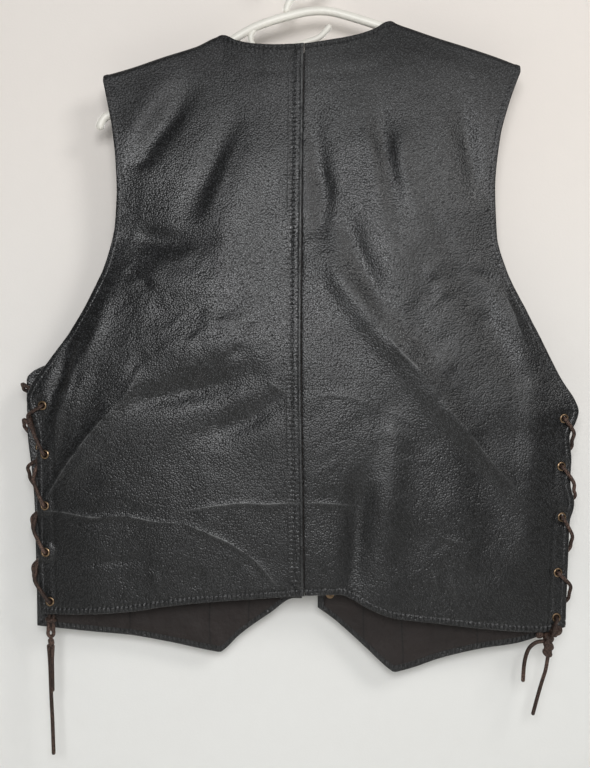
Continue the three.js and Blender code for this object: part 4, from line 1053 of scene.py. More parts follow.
def smooth_profile(corners, count):
    """A profile through its corners as a smooth curve, with count points between each two."""
    corners = np.array(corners, float)
    outer = np.concatenate([corners[:1], corners, corners[-1:]])
    return np.concatenate([catmull_rom(outer, count), corners[-1:]])


class ShaderTree:
    """Short calls for the nodes of a material or a node group."""

    def __init__(self, tree):
        self.tree = tree

    def add(self, kind, inputs=None, **settings):
        node = self.tree.nodes.new(kind)
        for key, value in settings.items():
            setattr(node, key, value)
        for key, value in (inputs or {}).items():
            if isinstance(value, bpy.types.NodeSocket):
                self.tree.links.new(value, node.inputs[key])
            else:
                node.inputs[key].default_value = value
        return node

    def math(self, operation, first, second=0.0, third=0.0):
        inputs = {0: first, 1: second, 2: third}
        return self.add("ShaderNodeMath", inputs, operation=operation).outputs[0]

    def vector_math(self, operation, inputs):
        return self.add("ShaderNodeVectorMath", inputs, operation=operation).outputs[0]

    def blend(self, share, low, high):
        node = self.add("ShaderNodeMix", {"Factor": share}, data_type="RGBA")
        for key, value in (("A", low), ("B", high)):
            socket = next(s for s in node.inputs if s.name == key and s.type == "RGBA")
            if isinstance(value, bpy.types.NodeSocket):
                self.tree.links.new(value, socket)
            else:
                socket.default_value = (*value, 1.0)
        return next(s for s in node.outputs if s.type == "RGBA")

    def noise(self, vector, scale, detail, distortion=0.0):
        inputs = {"Vector": vector, "Scale": scale, "Detail": detail, "Distortion": distortion}
        return self.add("ShaderNodeTexNoise", inputs).outputs["Fac"]

    def group(self, group, **inputs):
        return self.add("ShaderNodeGroup", inputs, node_tree=group).outputs

    def bump(self, height, distance, strength, normal=None):
        inputs = {"Height": height, "Distance": distance, "Strength": strength}
        if normal is not None:
            inputs["Normal"] = normal
        return self.add("ShaderNodeBump", inputs).outputs["Normal"]

    def principled(self, colour, roughness, normal, more=None):
        inputs = {"Base Color": colour, "Roughness": roughness, "Normal": normal, **(more or {})}
        return self.add("ShaderNodeBsdfPrincipled", inputs).outputs["BSDF"]

    def ramp(self, value, low, high, to_low=0.0, to_high=1.0):
        inputs = {"Value": value, "From Min": low, "From Max": high, "To Min": to_low, "To Max": to_high}
        node = self.add("ShaderNodeMapRange", inputs, interpolation_type="SMOOTHSTEP")
        return node.outputs["Result"]


def shader_group(name, inputs, outputs, build):
    """A node group with named inputs and outputs, built once."""
    group = bpy.data.node_groups.get(name)
    if group:
        return group
    group = bpy.data.node_groups.new(name, "ShaderNodeTree")
    for key, kind, default in inputs:
        socket = group.interface.new_socket(name=key, in_out="INPUT", socket_type=kind)
        if default is not None:
            socket.default_value = default
    for key, kind in outputs:
        group.interface.new_socket(name=key, in_out="OUTPUT", socket_type=kind)
    tree = ShaderTree(group)
    source = tree.add("NodeGroupInput").outputs
    results = build(tree, source)
    sink = tree.add("NodeGroupOutput")
    for key, socket in results.items():
        group.links.new(socket, sink.inputs[key])
    return group


VALUE = "NodeSocketFloat"
VECTOR = "NodeSocketVector"


def pebbled_grain():
    """Pebbles of leather: domes over the cells of a Voronoi pattern, parted by valleys. Valley masks the
    valleys for painted shade, and Top each pebble's top with its own share of painted highlight."""

    def build(tree, source):
        waver = {"Vector": source["Vector"], "Scale": 190.0, "Detail": 1.0}
        colour = tree.add("ShaderNodeTexNoise", waver).outputs["Color"]
        shift = tree.vector_math("SUBTRACT", {0: colour, 1: (0.5, 0.5, 0.5)})
        small = tree.vector_math("SCALE", {0: shift, "Scale": 0.0007})
        place = tree.vector_math("ADD", {0: source["Vector"], 1: small})
        pattern = {"Vector": place, "Scale": source["Cells"], "Smoothness": 0.15}
        cells = tree.add("ShaderNodeTexVoronoi", pattern, feature="SMOOTH_F1")
        distance = cells.outputs["Distance"]
        dome = tree.math("SUBTRACT", 1.0, tree.math("MULTIPLY", distance, distance))
        share = tree.add("ShaderNodeSeparateXYZ", {0: cells.outputs["Color"]}).outputs["X"]
        # Top marks each pebble's top for a painted highlight, and Valley the gaps between for painted shade
        top = tree.math("MULTIPLY", tree.ramp(distance, 0.42, 0.14), tree.ramp(share, 0.1, 0.9, 0.25, 1.0))
        return {"Height": dome, "Valley": tree.ramp(distance, 0.3, 0.6), "Top": top}

    return shader_group(
        "pebbled_grain", [("Vector", VECTOR, None), ("Cells", VALUE, 430.0)],
        [("Height", VALUE), ("Valley", VALUE), ("Top", VALUE)], build,
    )


def thin_line():
    """A line where a distance crosses 0: exp(-(distance / width)^2)."""

    def build(tree, source):
        share = tree.math("DIVIDE", source["Distance"], source["Width"])
        square = tree.math("MULTIPLY", share, share)
        return {"Mask": tree.math("EXPONENT", tree.math("MULTIPLY", square, -1.0))}

    return shader_group(
        "thin_line", [("Distance", VALUE, 1.0), ("Width", VALUE, 1.0)], [("Mask", VALUE)], build,
    )


def patchy_tone():
    """Slow change over the surface, from 0 to 1: large clouds with a little fine dust in them."""

    def build(tree, source):
        large = tree.noise(source["Vector"], source["Scale"], 5.0)
        dust = tree.noise(source["Vector"], tree.math("MULTIPLY", source["Scale"], 14.0), 2.0)
        return {"Tone": tree.ramp(tree.math("MULTIPLY_ADD", dust, 0.35, large), 0.45, 0.95)}

    return shader_group(
        "patchy_tone", [("Vector", VECTOR, None), ("Scale", VALUE, 20.0)], [("Tone", VALUE)], build,
    )


def plain_weave():
    """Threads over and under each other: two crossed waves, each hidden where the other rises."""

    def build(tree, source):
        parts = tree.add("ShaderNodeSeparateXYZ", {0: source["Vector"]}).outputs
        warp = tree.math("SINE", tree.math("MULTIPLY", parts["X"], source["Threads"]))
        weft = tree.math("SINE", tree.math("MULTIPLY", parts["Z"], source["Threads"]))
        cross = tree.math("MULTIPLY", warp, weft)
        half = tree.math("MULTIPLY", cross, 0.5)
        return {"Height": tree.math("MULTIPLY_ADD", tree.math("ABSOLUTE", cross), 0.5, half)}

    return shader_group(
        "plain_weave", [("Vector", VECTOR, None), ("Threads", VALUE, 6000.0)], [("Height", VALUE)], build,
    )


def new_material(name, build):
    material = bpy.data.materials.get(name)
    if material:
        return material
    material = bpy.data.materials.new(name)
    material.use_nodes = True
    material.node_tree.nodes.clear()
    tree = ShaderTree(material.node_tree)
    place = tree.add("ShaderNodeTexCoord").outputs["Object"]
    surface = build(tree, place)
    output = tree.add("ShaderNodeOutputMaterial")
    material.node_tree.links.new(surface, output.inputs["Surface"])
    return material


def scaled(colour, factor):
    return tuple(min(c * factor, 1.0) for c in colour)


def leather_material(colours, name="black_pebbled_leather"):
    """Black pebbled leather, semi-gloss, rubbed pale along old creases, puckered at its seams, with painted
    highlights on its pebbles' tops and its puckers' crests and painted shade between its pebbles.
    """

    def build(tree, place):
        line, worn, pucker, stitch = (
            tree.add("ShaderNodeAttribute", attribute_name=key).outputs["Fac"]
            for key in ("line", "rubbed", "pucker", "stitch")
        )
        pebbles = tree.group(pebbled_grain(), Vector=place, Cells=560.0)
        height = tree.add("ShaderNodeSeparateXYZ", {0: place}).outputs["Z"]
        tone = tree.group(patchy_tone(), Vector=place, Scale=16.0)["Tone"]
        breaks = tree.noise(place, 90.0, 2.0)
        noise_patches = tree.ramp(breaks, 0.4, 0.7)
        crack = tree.group(thin_line(), Distance=line, Width=0.65)["Mask"]
        halo = tree.group(thin_line(), Distance=line, Width=2.6)["Mask"]
        crease = tree.math("MULTIPLY", tree.math("MULTIPLY_ADD", halo, 0.18, crack), worn)
        rubbed = tree.math("MULTIPLY", crease, tree.ramp(breaks, 0.3, 0.62))
        wave = tree.math("SINE", tree.math("MULTIPLY", stitch, 2 * math.pi))
        teeth = tree.math("MULTIPLY", wave, pucker)
        # Painted highlight on the pebbles' tops, fewer below the waist and at the top of the vest: painted
        # light by height
        painted_glint = tree.math("MULTIPLY", pebbles["Top"], tree.ramp(height, -0.64, -0.46, 0.4, 1.0))
        painted_glint = tree.math("MULTIPLY", painted_glint, tree.ramp(height, -0.2, -0.03, 1.0, 0.35))
        # Paler on the puckers' crests, broken up by noise: a painted highlight rather than scuffing
        scuffed = tree.math("MULTIPLY", tree.ramp(teeth, 0.3, 1.0, 0.0, 0.28), noise_patches)
        base = tree.blend(tone, scaled(colours.leather, 0.8), scaled(colours.leather, 1.2))
        # The valleys between the pebbles painted darker: painted shade
        base = tree.blend(pebbles["Valley"], base, scaled(colours.leather, 0.25))
        # The pebbles' tops painted five times paler than the leather: painted highlight
        base = tree.blend(painted_glint, base, scaled(colours.leather, 5.0))
        base = tree.blend(tree.math("MINIMUM", rubbed, 1.0), base, tuple(colours.leather_worn_and_crest_highlight))
        # The puckers' crests painted pale: painted highlight
        base = tree.blend(scuffed, base, tuple(colours.leather_worn_and_crest_highlight))
        dull = tree.math("MULTIPLY_ADD", tone, 0.08, tree.ramp(height, -0.24, -0.07, 0.33, 0.6))
        roughness = tree.math("MULTIPLY_ADD", pebbles["Top"], -0.08, dull)
        soft = tree.bump(tree.noise(place, 75.0, 2.0), 0.002, 0.12)
        gathered = tree.bump(teeth, 0.0005, 0.5, soft)
        folded = tree.bump(crease, 0.0005, 0.5, gathered)
        normal = tree.bump(pebbles["Height"], 0.0006, 0.6, folded)
        gloss = tree.ramp(height, -0.15, -0.03, 0.45, 0.28)
        return tree.principled(base, roughness, normal, {"Specular IOR Level": gloss})

    return new_material(name, build)


def flesh_material(colours):
    """The leather's inside: short matt fibres."""

    def build(tree, place):
        tone = tree.group(patchy_tone(), Vector=place, Scale=30.0)["Tone"]
        base = tree.blend(tone, scaled(colours.flesh, 0.7), scaled(colours.flesh, 1.35))
        normal = tree.bump(tree.noise(place, 900.0, 5.0), 0.0006, 0.6)
        return tree.principled(base, 0.9, normal, {"Sheen Weight": 0.15})

    return new_material("leather_flesh_side", build)


def lining_material(colours):
    """Dark brown woven lining with a faint sheen, darker in its pressed seams."""

    def build(tree, place):
        weave = tree.group(plain_weave(), Vector=place, Threads=7000.0)["Height"]
        tone = tree.group(patchy_tone(), Vector=place, Scale=34.0)["Tone"]
        base = tree.blend(tone, scaled(colours.lining, 0.4), scaled(colours.lining, 1.8))
        base = tree.blend(tree.math("MULTIPLY", weave, 0.5), scaled(colours.lining, 0.6), base)
        line = tree.add("ShaderNodeAttribute", attribute_name="line").outputs["Fac"]
        seam = tree.group(thin_line(), Distance=line, Width=0.8)["Mask"]
        base = tree.blend(seam, base, scaled(colours.lining, 0.15))
        soft = tree.bump(tree.noise(place, 60.0, 3.0), 0.004, 0.8)
        normal = tree.bump(weave, 0.0002, 0.5, soft)
        return tree.principled(base, 0.55, normal, {"Sheen Weight": 0.08, "Specular IOR Level": 0.3})

    return new_material("brown_lining", build)


def brass_material(colours):
    """Antique brass: dark in its hollows, rubbed bright on what stands out."""

    def build(tree, place):
        tone = tree.group(patchy_tone(), Vector=place, Scale=260.0)["Tone"]
        base = tree.blend(tone, scaled(colours.brass, 0.35), tuple(colours.brass))
        normal = tree.bump(tree.noise(place, 1500.0, 3.0), 0.0001, 0.4)
        roughness = tree.math("MULTIPLY_ADD", tone, -0.18, 0.48)
        return tree.principled(base, roughness, normal, {"Metallic": 1.0})

    return new_material("antique_brass", build)


def thong_material(colours):
    """Dark brown leather thong, dry and cracked, with paler patches where it is rubbed and painted shade in
    its cracks.
    """

    def build(tree, place):
        cracks = tree.noise(place, 700.0, 4.0, distortion=0.6)
        tone = tree.group(patchy_tone(), Vector=place, Scale=55.0)["Tone"]
        base = tree.blend(tone, scaled(colours.thong, 0.4), scaled(colours.thong, 1.6))
        # Darker where the cracks sink in: painted shade
        base = tree.blend(tree.ramp(cracks, 0.56, 0.42), base, scaled(colours.thong, 0.25))
        normal = tree.bump(cracks, 0.0007, 0.7)
        return tree.principled(base, 0.6, normal, {"Specular IOR Level": 0.25})

    return new_material("brown_thong", build)


def thread_material(colours):
    """Black sewing thread, twisted."""

    def build(tree, place):
        twist = tree.noise(place, 2600.0, 1.0)
        base = tree.blend(twist, scaled(colours.leather, 0.5), scaled(colours.leather, 1.6))
        return tree.principled(base, 0.55, tree.bump(twist, 0.0002, 0.6))

    return new_material("black_thread", build)


def plastic_material(colours):
    """Off-white moulded plastic, faintly yellowed and scuffed."""

    def build(tree, place):
        tone = tree.group(patchy_tone(), Vector=place, Scale=22.0)["Tone"]
        base = tree.blend(tone, scaled(colours.hanger, 0.9), tuple(colours.hanger))
        noise_patches = tree.noise(place, 300.0, 3.0)
        roughness = tree.math("MULTIPLY_ADD", noise_patches, 0.15, 0.32)
        return tree.principled(base, roughness, tree.bump(noise_patches, 0.0002, 0.15))

    return new_material("white_plastic", build)


def wall_material(colours):
    """Painted plaster, pale, seen from its face only so that it hides nothing from behind."""

    def build(tree, place):
        tone = tree.group(patchy_tone(), Vector=place, Scale=4.0)["Tone"]
        parts = tree.add("ShaderNodeSeparateXYZ", {0: place}).outputs
        # Darker and warmer towards the top and paler towards the left: painted light, for the room's uneven
        # light on the wall
        lower = tree.ramp(parts["Z"], -0.1, -0.75)
        wall = tree.blend(lower, tuple(colours.wall), tuple(colours.wall_low))
        paler = tree.blend(tree.ramp(parts["X"], -0.3, 0.3, 0.12, 0.0), wall, (0.95, 0.95, 0.93))
        base = tree.blend(tree.ramp(tone, 0.0, 1.0, 0.0, 0.06), paler, scaled(colours.wall, 0.8))
        normal = tree.bump(tree.noise(place, 420.0, 3.0), 0.0004, 0.25)
        paint = tree.principled(base, 0.85, normal)
        clear = tree.add("ShaderNodeBsdfTransparent").outputs[0]
        behind = tree.add("ShaderNodeNewGeometry").outputs["Backfacing"]
        return tree.add("ShaderNodeMixShader", {0: behind, 1: paint, 2: clear}).outputs[0]

    return new_material("pale_wall", build)


def settle_piece(piece, slot, *nodes):
    """The piece rides on the vest's one body and replaces nodes. slot is not used."""
    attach(piece, BODY)
    if nodes:
        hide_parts(*nodes)
    return piece


def bore_cutter(seats, radius):
    """A closed cylinder along each seat's normal, all in one object, for cutting the holes."""
    sides = 20
    a = np.arange(sides) / sides * 2 * np.pi
    profile = [(0, -BORE_REACH), (radius, -BORE_REACH), (radius, BORE_REACH), (0, BORE_REACH)]
    radii, heights = np.array(profile, float).T
    all_points, all_quads = [], []
    for k, seat in enumerate(seats):
        normal = seat["normal"]
        across = unit(np.cross(normal, [0.0, 0.0, 1.0]))
        ring = across * np.cos(a)[:, None] + np.cross(normal, across) * np.sin(a)[:, None]
        points = seat["centre"] + ring[None] * radii[:, None, None] + normal * heights[:, None, None]
        all_points.append(points.reshape(-1, 3))
        all_quads.append(grid_quads(4, sides, first=4 * sides * k, closed=True))
    return new_piece("cutter", np.concatenate(all_points), np.concatenate(all_quads), [], merge=True)


def cut_bores(piece, seats, radius):
    """Cuts a round hole through the piece at each seat."""
    cutter = bore_cutter(seats, radius)
    modifier = piece.modifiers.new("bores", "BOOLEAN")
    modifier.operation = "DIFFERENCE"
    modifier.solver = "MANIFOLD"
    modifier.object = cutter
    graph = bpy.context.evaluated_depsgraph_get()
    mesh = bpy.data.meshes.new_from_object(piece.evaluated_get(graph))
    old = piece.data
    piece.modifiers.clear()
    piece.data = mesh
    mesh.name = piece.name
    bpy.data.meshes.remove(old)
    bpy.data.objects.remove(cutter)
    if len(mesh.polygons) < 1000:
        raise RuntimeError(f"{piece.name} was lost when its holes were cut")
    mesh.shade_smooth()
    mesh.set_sharp_from_angle(angle=math.radians(50))


def dress_panel(context, name):
    """One leather panel: its fine surface over the frame's own form, with holes for its metal."""
    sizes, colours = context.scene.vest_sizes, context.scene.vest_colours
    panel = LeatherPanel(name, sizes.crease)
    step = sizes.back_step if panel.face < 0 else sizes.front_step
    grid, normal, turned = panel.grid(step / MM)
    x, z = grid[..., 0], grid[..., 2]
    height = panel.relief(x, z)
    past_neck = np.abs(x[:turned]) > abs(panel.neck_x) + NECK_TURN
    height[:turned] = np.where(past_neck, height[turned], height[:turned])
    side, middle, hem, neck = panel.edge_distances(x, z)
    edge = np.minimum(np.minimum(side, hem), np.minimum(middle, neck))
    under = LEATHER / 2 * (0.3 + 0.7 * rounded_off(edge))
    inner = flesh_material(colours) if panel.face < 0 else leather_material(colours, "black_leather_facing")
    outside, inside = grid + normal * height[..., None], grid - normal * under[..., None]
    piece = shell(f"{name}_leather", outside, inside, [leather_material(colours), inner])
    distance, rubbed = panel.rubbing(x, z)
    strength, count = panel.puckers(x, z)
    for key, values in (("line", distance), ("rubbed", rubbed), ("pucker", strength), ("stitch", count)):
        store(piece, key, np.stack([values, values]))
    cut_bores(piece, panel.seats[:EYELETS], EYELET_BORE)
    settle_piece(piece, "leather", name)


class VEST_OT_stage(bpy.types.Operator):
    """Camera, soft light, pale wall and floor."""

    bl_idname = "vest.stage"
    bl_label = "Stage"

    def execute(self, context):
        stage, colours = context.scene.vest_stage, context.scene.vest_colours
        data = bpy.data.cameras.new("camera")
        data.sensor_width = 36.0
        data.lens = data.sensor_width * stage.distance / stage.seen_height
        camera = bpy.data.objects.new("camera", data)
        camera.location = (SEEN_X, -stage.distance, SEEN_Z)
        camera.rotation_euler = (math.pi / 2, 0, 0)
        context.scene.collection.objects.link(camera)
        context.scene.camera = camera
        self.make_surfaces(context, stage, colours)
        self.make_lights(context, stage)
        return {"FINISHED"}

    def make_surfaces(self, context, stage, colours):
        """A wall facing the camera and a floor facing up, each one large face."""
        wall_y, floor_z, far = stage.wall_gap, -1.15, 3.0
        faces = {
            "wall": [(-far, wall_y, floor_z), (far, wall_y, floor_z), (far, wall_y, 2), (-far, wall_y, 2)],
            "floor": [(-far, -far, floor_z), (far, -far, floor_z), (far, far, floor_z), (-far, far, floor_z)],
        }
        for name, corners in faces.items():
            mesh = bpy.data.meshes.new(name)
            mesh.from_pydata(corners, [], [(0, 1, 2, 3)])
            mesh.materials.append(wall_material(colours))
            surface = bpy.data.objects.new(name, mesh)
            context.scene.collection.objects.link(surface)
            surface.visible_shadow = name != "wall"

    def make_lights(self, context, stage):
        middle = np.array([-0.01, 0.0, -0.45])
        lights = [
            ("key", (1.0, -1.3, 0.4), (0.5, 0.5), stage.key_power, (1.0, 0.985, 0.965)),
            ("window", (-0.03, -1.8, -0.04), (0.72, 0.52), stage.window_power, (0.985, 0.99, 1.0)),
            ("behind_left", (-1.1, 1.6, 0.4), (0.7, 0.7), stage.back_power, (1.0, 0.985, 0.965)),
            ("behind_right", (0.7, 1.9, 0.0), (1.0, 0.8), stage.back_power, (0.985, 0.99, 1.0)),
        ]
        for name, place, size, power, colour in lights:
            data = bpy.data.lights.new(name, "AREA")
            data.shape = "RECTANGLE"
            data.size, data.size_y = size
            data.energy, data.color = power, colour
            light = bpy.data.objects.new(name, data)
            light.location = place
            light.rotation_mode = "QUATERNION"
            light.rotation_quaternion = Vector(middle - np.array(place)).to_track_quat("-Z", "Y")
            context.scene.collection.objects.link(light)
        world = bpy.data.worlds.new("room")
        world.use_nodes = True
        tree = ShaderTree(world.node_tree)
        background = world.node_tree.nodes["Background"]
        background.inputs["Color"].default_value = (0.93, 0.93, 0.95, 1.0)
        seen = tree.add("ShaderNodeLightPath").outputs["Is Camera Ray"]
        strength = tree.ramp(seen, 0.0, 1.0, stage.room, 0.75)
        world.node_tree.links.new(strength, background.inputs["Strength"])
        context.scene.world = world
        context.scene.view_settings.view_transform = "Standard"


class VEST_OT_lace_ends(bpy.types.Operator):
    """The four free ends of the laces, as limp cords."""

    bl_idname = "vest.lace_ends"
    bl_label = "Lace ends"

    def execute(self, context):
        colours = context.scene.vest_colours
        radius = context.scene.vest_sizes.thong / 2 / MM
        for name, route in FREE_ENDS.items():
            points = np.array(route) / MM
            hidden = points[0] + unit(points[0] - points[1]) * HIDDEN_END
            path = smooth_path(np.concatenate([[hidden], points]), LACE_STEP)
            piece = tube(f"{name}_thong", path, radius, 14, [thong_material(colours)], SQUARENESS)
            settle_piece(piece, "thong", name)
        return {"FINISHED"}


def through_eyelet(seat, turn, origin, target):
    """Places of the lace through an eyelet: outside the leather on one side, in the hole, and
    outside it on the other, leaning to where the lace comes from and goes to."""
    centre, normal = seat["centre"], seat["normal"]

    def lean(point):
        flat = point - centre
        return unit(flat - normal * (flat @ normal))

    return [
        centre - normal * LACE_RISE * turn + lean(origin) * 2, centre - normal * 1.5 * turn,
        centre + normal * 1.5 * turn, centre + normal * LACE_RISE * turn + lean(target) * 2,
    ]


def round_edge(panel, z, turn, drop=9.0):
    """Places of the lace round a side edge, from outside to inside, or back where turn is -1."""
    places = []
    for k, degrees in enumerate((50, 0, -50)):
        angle = math.radians(degrees) * turn
        point, normal, out = panel.edge_place(z + (1 - k) * drop)
        places.append(point + out * 3.2 * math.cos(angle) + normal * LACE_RISE * math.sin(angle))
    return places


def strand_path(stations, start, end):
    """A lace's path over its stations. A station is (seat, turn) or (panel, z, turn, drop)."""

    def anchor(station):
        return station[0]["centre"] if len(station) == 2 else station[0].edge_place(station[1])[0]

    points = list(start)
    for k, station in enumerate(stations):
        if len(station) == 2:
            origin = anchor(stations[k - 1]) if k else start[0]
            target = anchor(stations[k + 1]) if k < len(stations) - 1 else end[0]
            points += through_eyelet(*station, origin, target)
        else:
            points += round_edge(*station)
    return np.array(points + list(end), float)


def right_strands(back, front):
    """The right side's two strands: each goes from inside to outside through an eyelet, round that
    panel's edge and over to the other panel."""
    seats = {"back": back.seats[:EYELETS], "front": front.seats[:EYELETS]}
    panels = {"back": back, "front": front}
    middle = (seats["back"][0]["centre"] + seats["front"][0]["centre"]) / 2
    middle[1] = 0

    def run(first, second):
        stations = []
        for k in range(EYELETS):
            side, other = (first, second) if k % 2 == 0 else (second, first)
            seat = seats[side][k]
            stations.append((seat, 1))
            if k < EYELETS - 1:
                z = (seat["centre"][2] + seats[other][k + 1]["centre"][2]) / 2
                stations.append((panels[side], z, 1, 9.0))
        return stations

    x, top = RIGHT_KNOT["x"], RIGHT_KNOT["top"]
    to_first = [(x + 6.5, -11.8, -725), (x + 4.4, -11.6, -733.5), (x + 3, -8.6, top - 5)]
    to_second = [(x + 6, -0.6, -729), (x - 2, -1.4, -736.5), (x - 3, -5.5, top - 6)]
    last_round = (front, seats["front"][-1]["centre"][2] - 10, 1, 5.0)
    from_back = strand_path(run("back", "front"), [middle + (0, 0, 1.5)], to_first)
    from_front = strand_path([*run("front", "back"), last_round], [middle - (0, 0, 1.5)], to_second)
    return from_back, from_front


def left_strands(back, front):
    """The left side's two strands: each goes round a panel's edge and in from outside."""
    b, f = back.seats[:EYELETS], front.seats[:EYELETS]

    def between(upper, lower):
        return (upper["centre"][2] + lower["centre"][2]) / 2 + 3

    x = LEFT_KNOT["x"]
    start = b[0]["centre"].copy()
    start[1] = 0
    first = [
        (b[0], 1), (back, between(b[0], b[1]) + 4, 1, 9.0), (front, between(f[0], f[1]) - 6, -1, 5.0),
        (f[1], -1), (back, between(f[1], b[2]), -1, 9.0), (b[2], -1), (front, between(b[2], f[3]), -1, 9.0),
        (f[3], -1), (back, between(f[3], b[4]), -1, 9.0), (b[4], -1),
    ]
    second = [
        (front, f[0]["centre"][2] + 9, -1, 3.0), (f[0], -1), (back, between(f[0], b[1]), -1, 9.0), (b[1], -1),
        (front, between(b[1], f[2]), -1, 9.0), (f[2], -1), (back, between(f[2], b[3]), -1, 9.0), (b[3], -1),
        (front, between(b[3], f[4]), -1, 9.0), (f[4], -1),
    ]
    to_first = [(x + 2.6, -1.2, -715), (x + 2.4, -2, -722), (x + 3, -2.8, -733)]
    to_second = [(x - 2.2, 0.4, -713), (x - 2.4, -1.2, -721), (x - 3, -2.8, -733)]
    from_back = strand_path(first, [start + (2, 0, 0)], to_first)
    from_front = strand_path(second, [start + (4, 1.2, -4), start + (0, 1.2, 5)], to_second)
    return from_back, from_front


def knot_winding(centre, radius, flat, tilt, lean):
    """A turn of the lace in a knot: a flattened ring, tilted about X and leaned about Y."""
    a = np.linspace(0, 2 * np.pi, 49)
    ring = np.stack([radius * np.cos(a), flat * radius * np.sin(a), 0 * a], axis=-1)
    cx, sx, cy, sy = math.cos(tilt), math.sin(tilt), math.cos(lean), math.sin(lean)
    about_x = np.array([[1, 0, 0], [0, cx, -sx], [0, sx, cx]])
    about_y = np.array([[cy, 0, sy], [0, 1, 0], [-sy, 0, cy]])
    return ring @ about_x.T @ about_y.T + np.array(centre)


class VEST_OT_laces(bpy.types.Operator):
    """The two laces through the eyelets, with the knots below the hem."""

    bl_idname = "vest.laces"
    bl_label = "Laces"

    def execute(self, context):
        colours = context.scene.vest_colours
        self.material = [thong_material(colours)]
        panels = {name: LeatherPanel(name) for name in CUTS}
        strands = {
            "lace_right": right_strands(panels["back_right"], panels["front_right"]),
            "lace_left": left_strands(panels["back_left"], panels["front_left"]),
        }
        for node, paths in strands.items():
            for k, path in enumerate(paths):
                strand = smooth_path(path, LACE_STEP)
                piece = tube(f"{node}_strand_{k + 1}", strand, STRAND_RADIUS, 12, self.material, SQUARENESS)
                settle_piece(piece, "thong", *([node] if k == 0 else []))
        for hand, knot, turns in (("left", LEFT_KNOT, LEFT_TURNS), ("right", RIGHT_KNOT, RIGHT_TURNS)):
            self.make_turns(hand, knot, turns)
        self.make_core("left", LEFT_KNOT, LEFT_CORE, LEFT_CORE_RADIUS)
        self.make_core("right", RIGHT_KNOT, RIGHT_CORE, RIGHT_CORE_RADIUS)
        return {"FINISHED"}

    def make_turns(self, hand, knot, turns):
        for name, dx, dy, level, rise, radius, flat, tilt, lean, thickness in turns:
            centre = (knot["x"] + dx, knot["y"] + dy, knot[level] + rise)
            path = knot_winding(centre, radius, flat, tilt, lean)
            piece = tube(
                f"lace_{hand}_{name}", path, thickness, 12, self.material, SQUARENESS, round_ends=False,
            )
            settle_piece(piece, "thong")

    def make_core(self, hand, knot, places, radius):
        corners = [(knot["x"] + dx, knot["y"] + dy, knot[level] + rise) for dx, dy, level, rise in places]
        core = smooth_path(np.array(corners), 1.0)
        settle_piece(tube(f"lace_{hand}_core", core, radius, 12, self.material, 0.1), "thong")


class VEST_OT_backs(bpy.types.Operator):
    """The two back panels of leather."""

    bl_idname = "vest.backs"
    bl_label = "Back"

    def execute(self, context):
        for name in ("back_left", "back_right"):
            dress_panel(context, name)
        self.make_allowance(context)
        return {"FINISHED"}

    def make_allowance(self, context):
        """The centre seam's allowance, turned to the left inside the vest and covering the gap."""
        left, right = LeatherPanel("back_left"), LeatherPanel("back_right")
        levels = np.linspace(left.inner_top - 4, left.inner_end + 8, 220)
        offsets, z = np.meshgrid(ALLOWANCE_STEPS, levels)
        x = left.inner_x(z) + offsets
        (place, inward), others = left.skin(x, z, inside=True), right.skin(x, z, inside=True)
        on_left = (offsets < 0)[..., None]
        place, inward = np.where(on_left, place, others[0]), np.where(on_left, inward, others[1])
        at_edge = (offsets == ALLOWANCE_STEPS[0]) | (offsets == ALLOWANCE_STEPS[-1])
        thickness = np.where(at_edge, ALLOWANCE_EDGE, ALLOWANCE)[..., None]
        near = place + inward * ALLOWANCE_LIFT
        far = place + inward * (ALLOWANCE_LIFT + thickness)
        piece = shell("back_seam_allowance", near, far, [flesh_material(context.scene.vest_colours)])
        settle_piece(piece, "leather")


class VEST_OT_fronts(bpy.types.Operator):
    """The two front panels of leather."""

    bl_idname = "vest.fronts"
    bl_label = "Fronts"

    def execute(self, context):
        for name in ("front_left", "front_right"):
            dress_panel(context, name)
        return {"FINISHED"}


class VEST_OT_linings(bpy.types.Operator):
    """The linings inside the fronts."""

    bl_idname = "vest.linings"
    bl_label = "Linings"
    seams = {"left": (-103.0, -60.0, -190.0), "right": (108.0, 66.0, 190.0)}

    def execute(self, context):
        for hand in ("left", "right"):
            self.make_lining(context, hand)
        return {"FINISHED"}

    def make_lining(self, context, hand):
        """The front's own surface, moved in past the leather, with pressed seams down its length."""
        panel = LeatherPanel(f"front_{hand}")
        even, last = np.linspace(0, HEM_BAND_LEVEL - 0.004, 190), HEM_BAND_LEVEL - np.array([0.002, 0.001, 0])
        v = np.concatenate([even, last])[:, None]
        width = panel.width(v)
        inset = panel.inset(mix(panel.outer_top, panel.outer_end, v)) + SEAT / 2
        low, high = (STRIP - SEAT) / width, 1 - inset / width
        u = mix(low, high, np.linspace(0, 1, 90)[None, :])
        x, z = panel.at(u, np.broadcast_to(v, u.shape))
        grid = np.stack([x, panel.middle_y(x, z), z], axis=-1)
        normal = unit(np.cross(np.gradient(grid, axis=1), np.gradient(grid, axis=0)))
        if normal[100, 45, 1] < 0:
            normal = -normal
        outside = np.full(x.shape, LEATHER / 2 + GAP)
        inside = outside + LINING
        inside += 1.5 * lattice_noise(x / 1.8, z, 26, 51) + 0.7 * lattice_noise(x, z / 1.6, 13, 52)
        line = np.full(x.shape, NO_EDGE)
        for seam in self.seams[hand]:
            wander = x - seam + 1.5 * lattice_noise(z, z, 40, 53)
            inside -= 0.5 * bell(wander, 1.6)
            inside += 0.4 * smoothstep(wander, 0.5, 3.0) * (1 - smoothstep(wander, 9, 13))
            line = np.where(np.abs(wander) < np.abs(line), wander, line)
        inside = np.maximum(inside, outside + 0.35)
        colours = context.scene.vest_colours
        name = f"lining_{hand}"
        piece = shell(
            f"{name}_cloth", grid - normal * outside[..., None], grid - normal * inside[..., None],
            [lining_material(colours)],
        )
        store(piece, "line", np.stack([line, line]))
        settle_piece(piece, "lining", name)


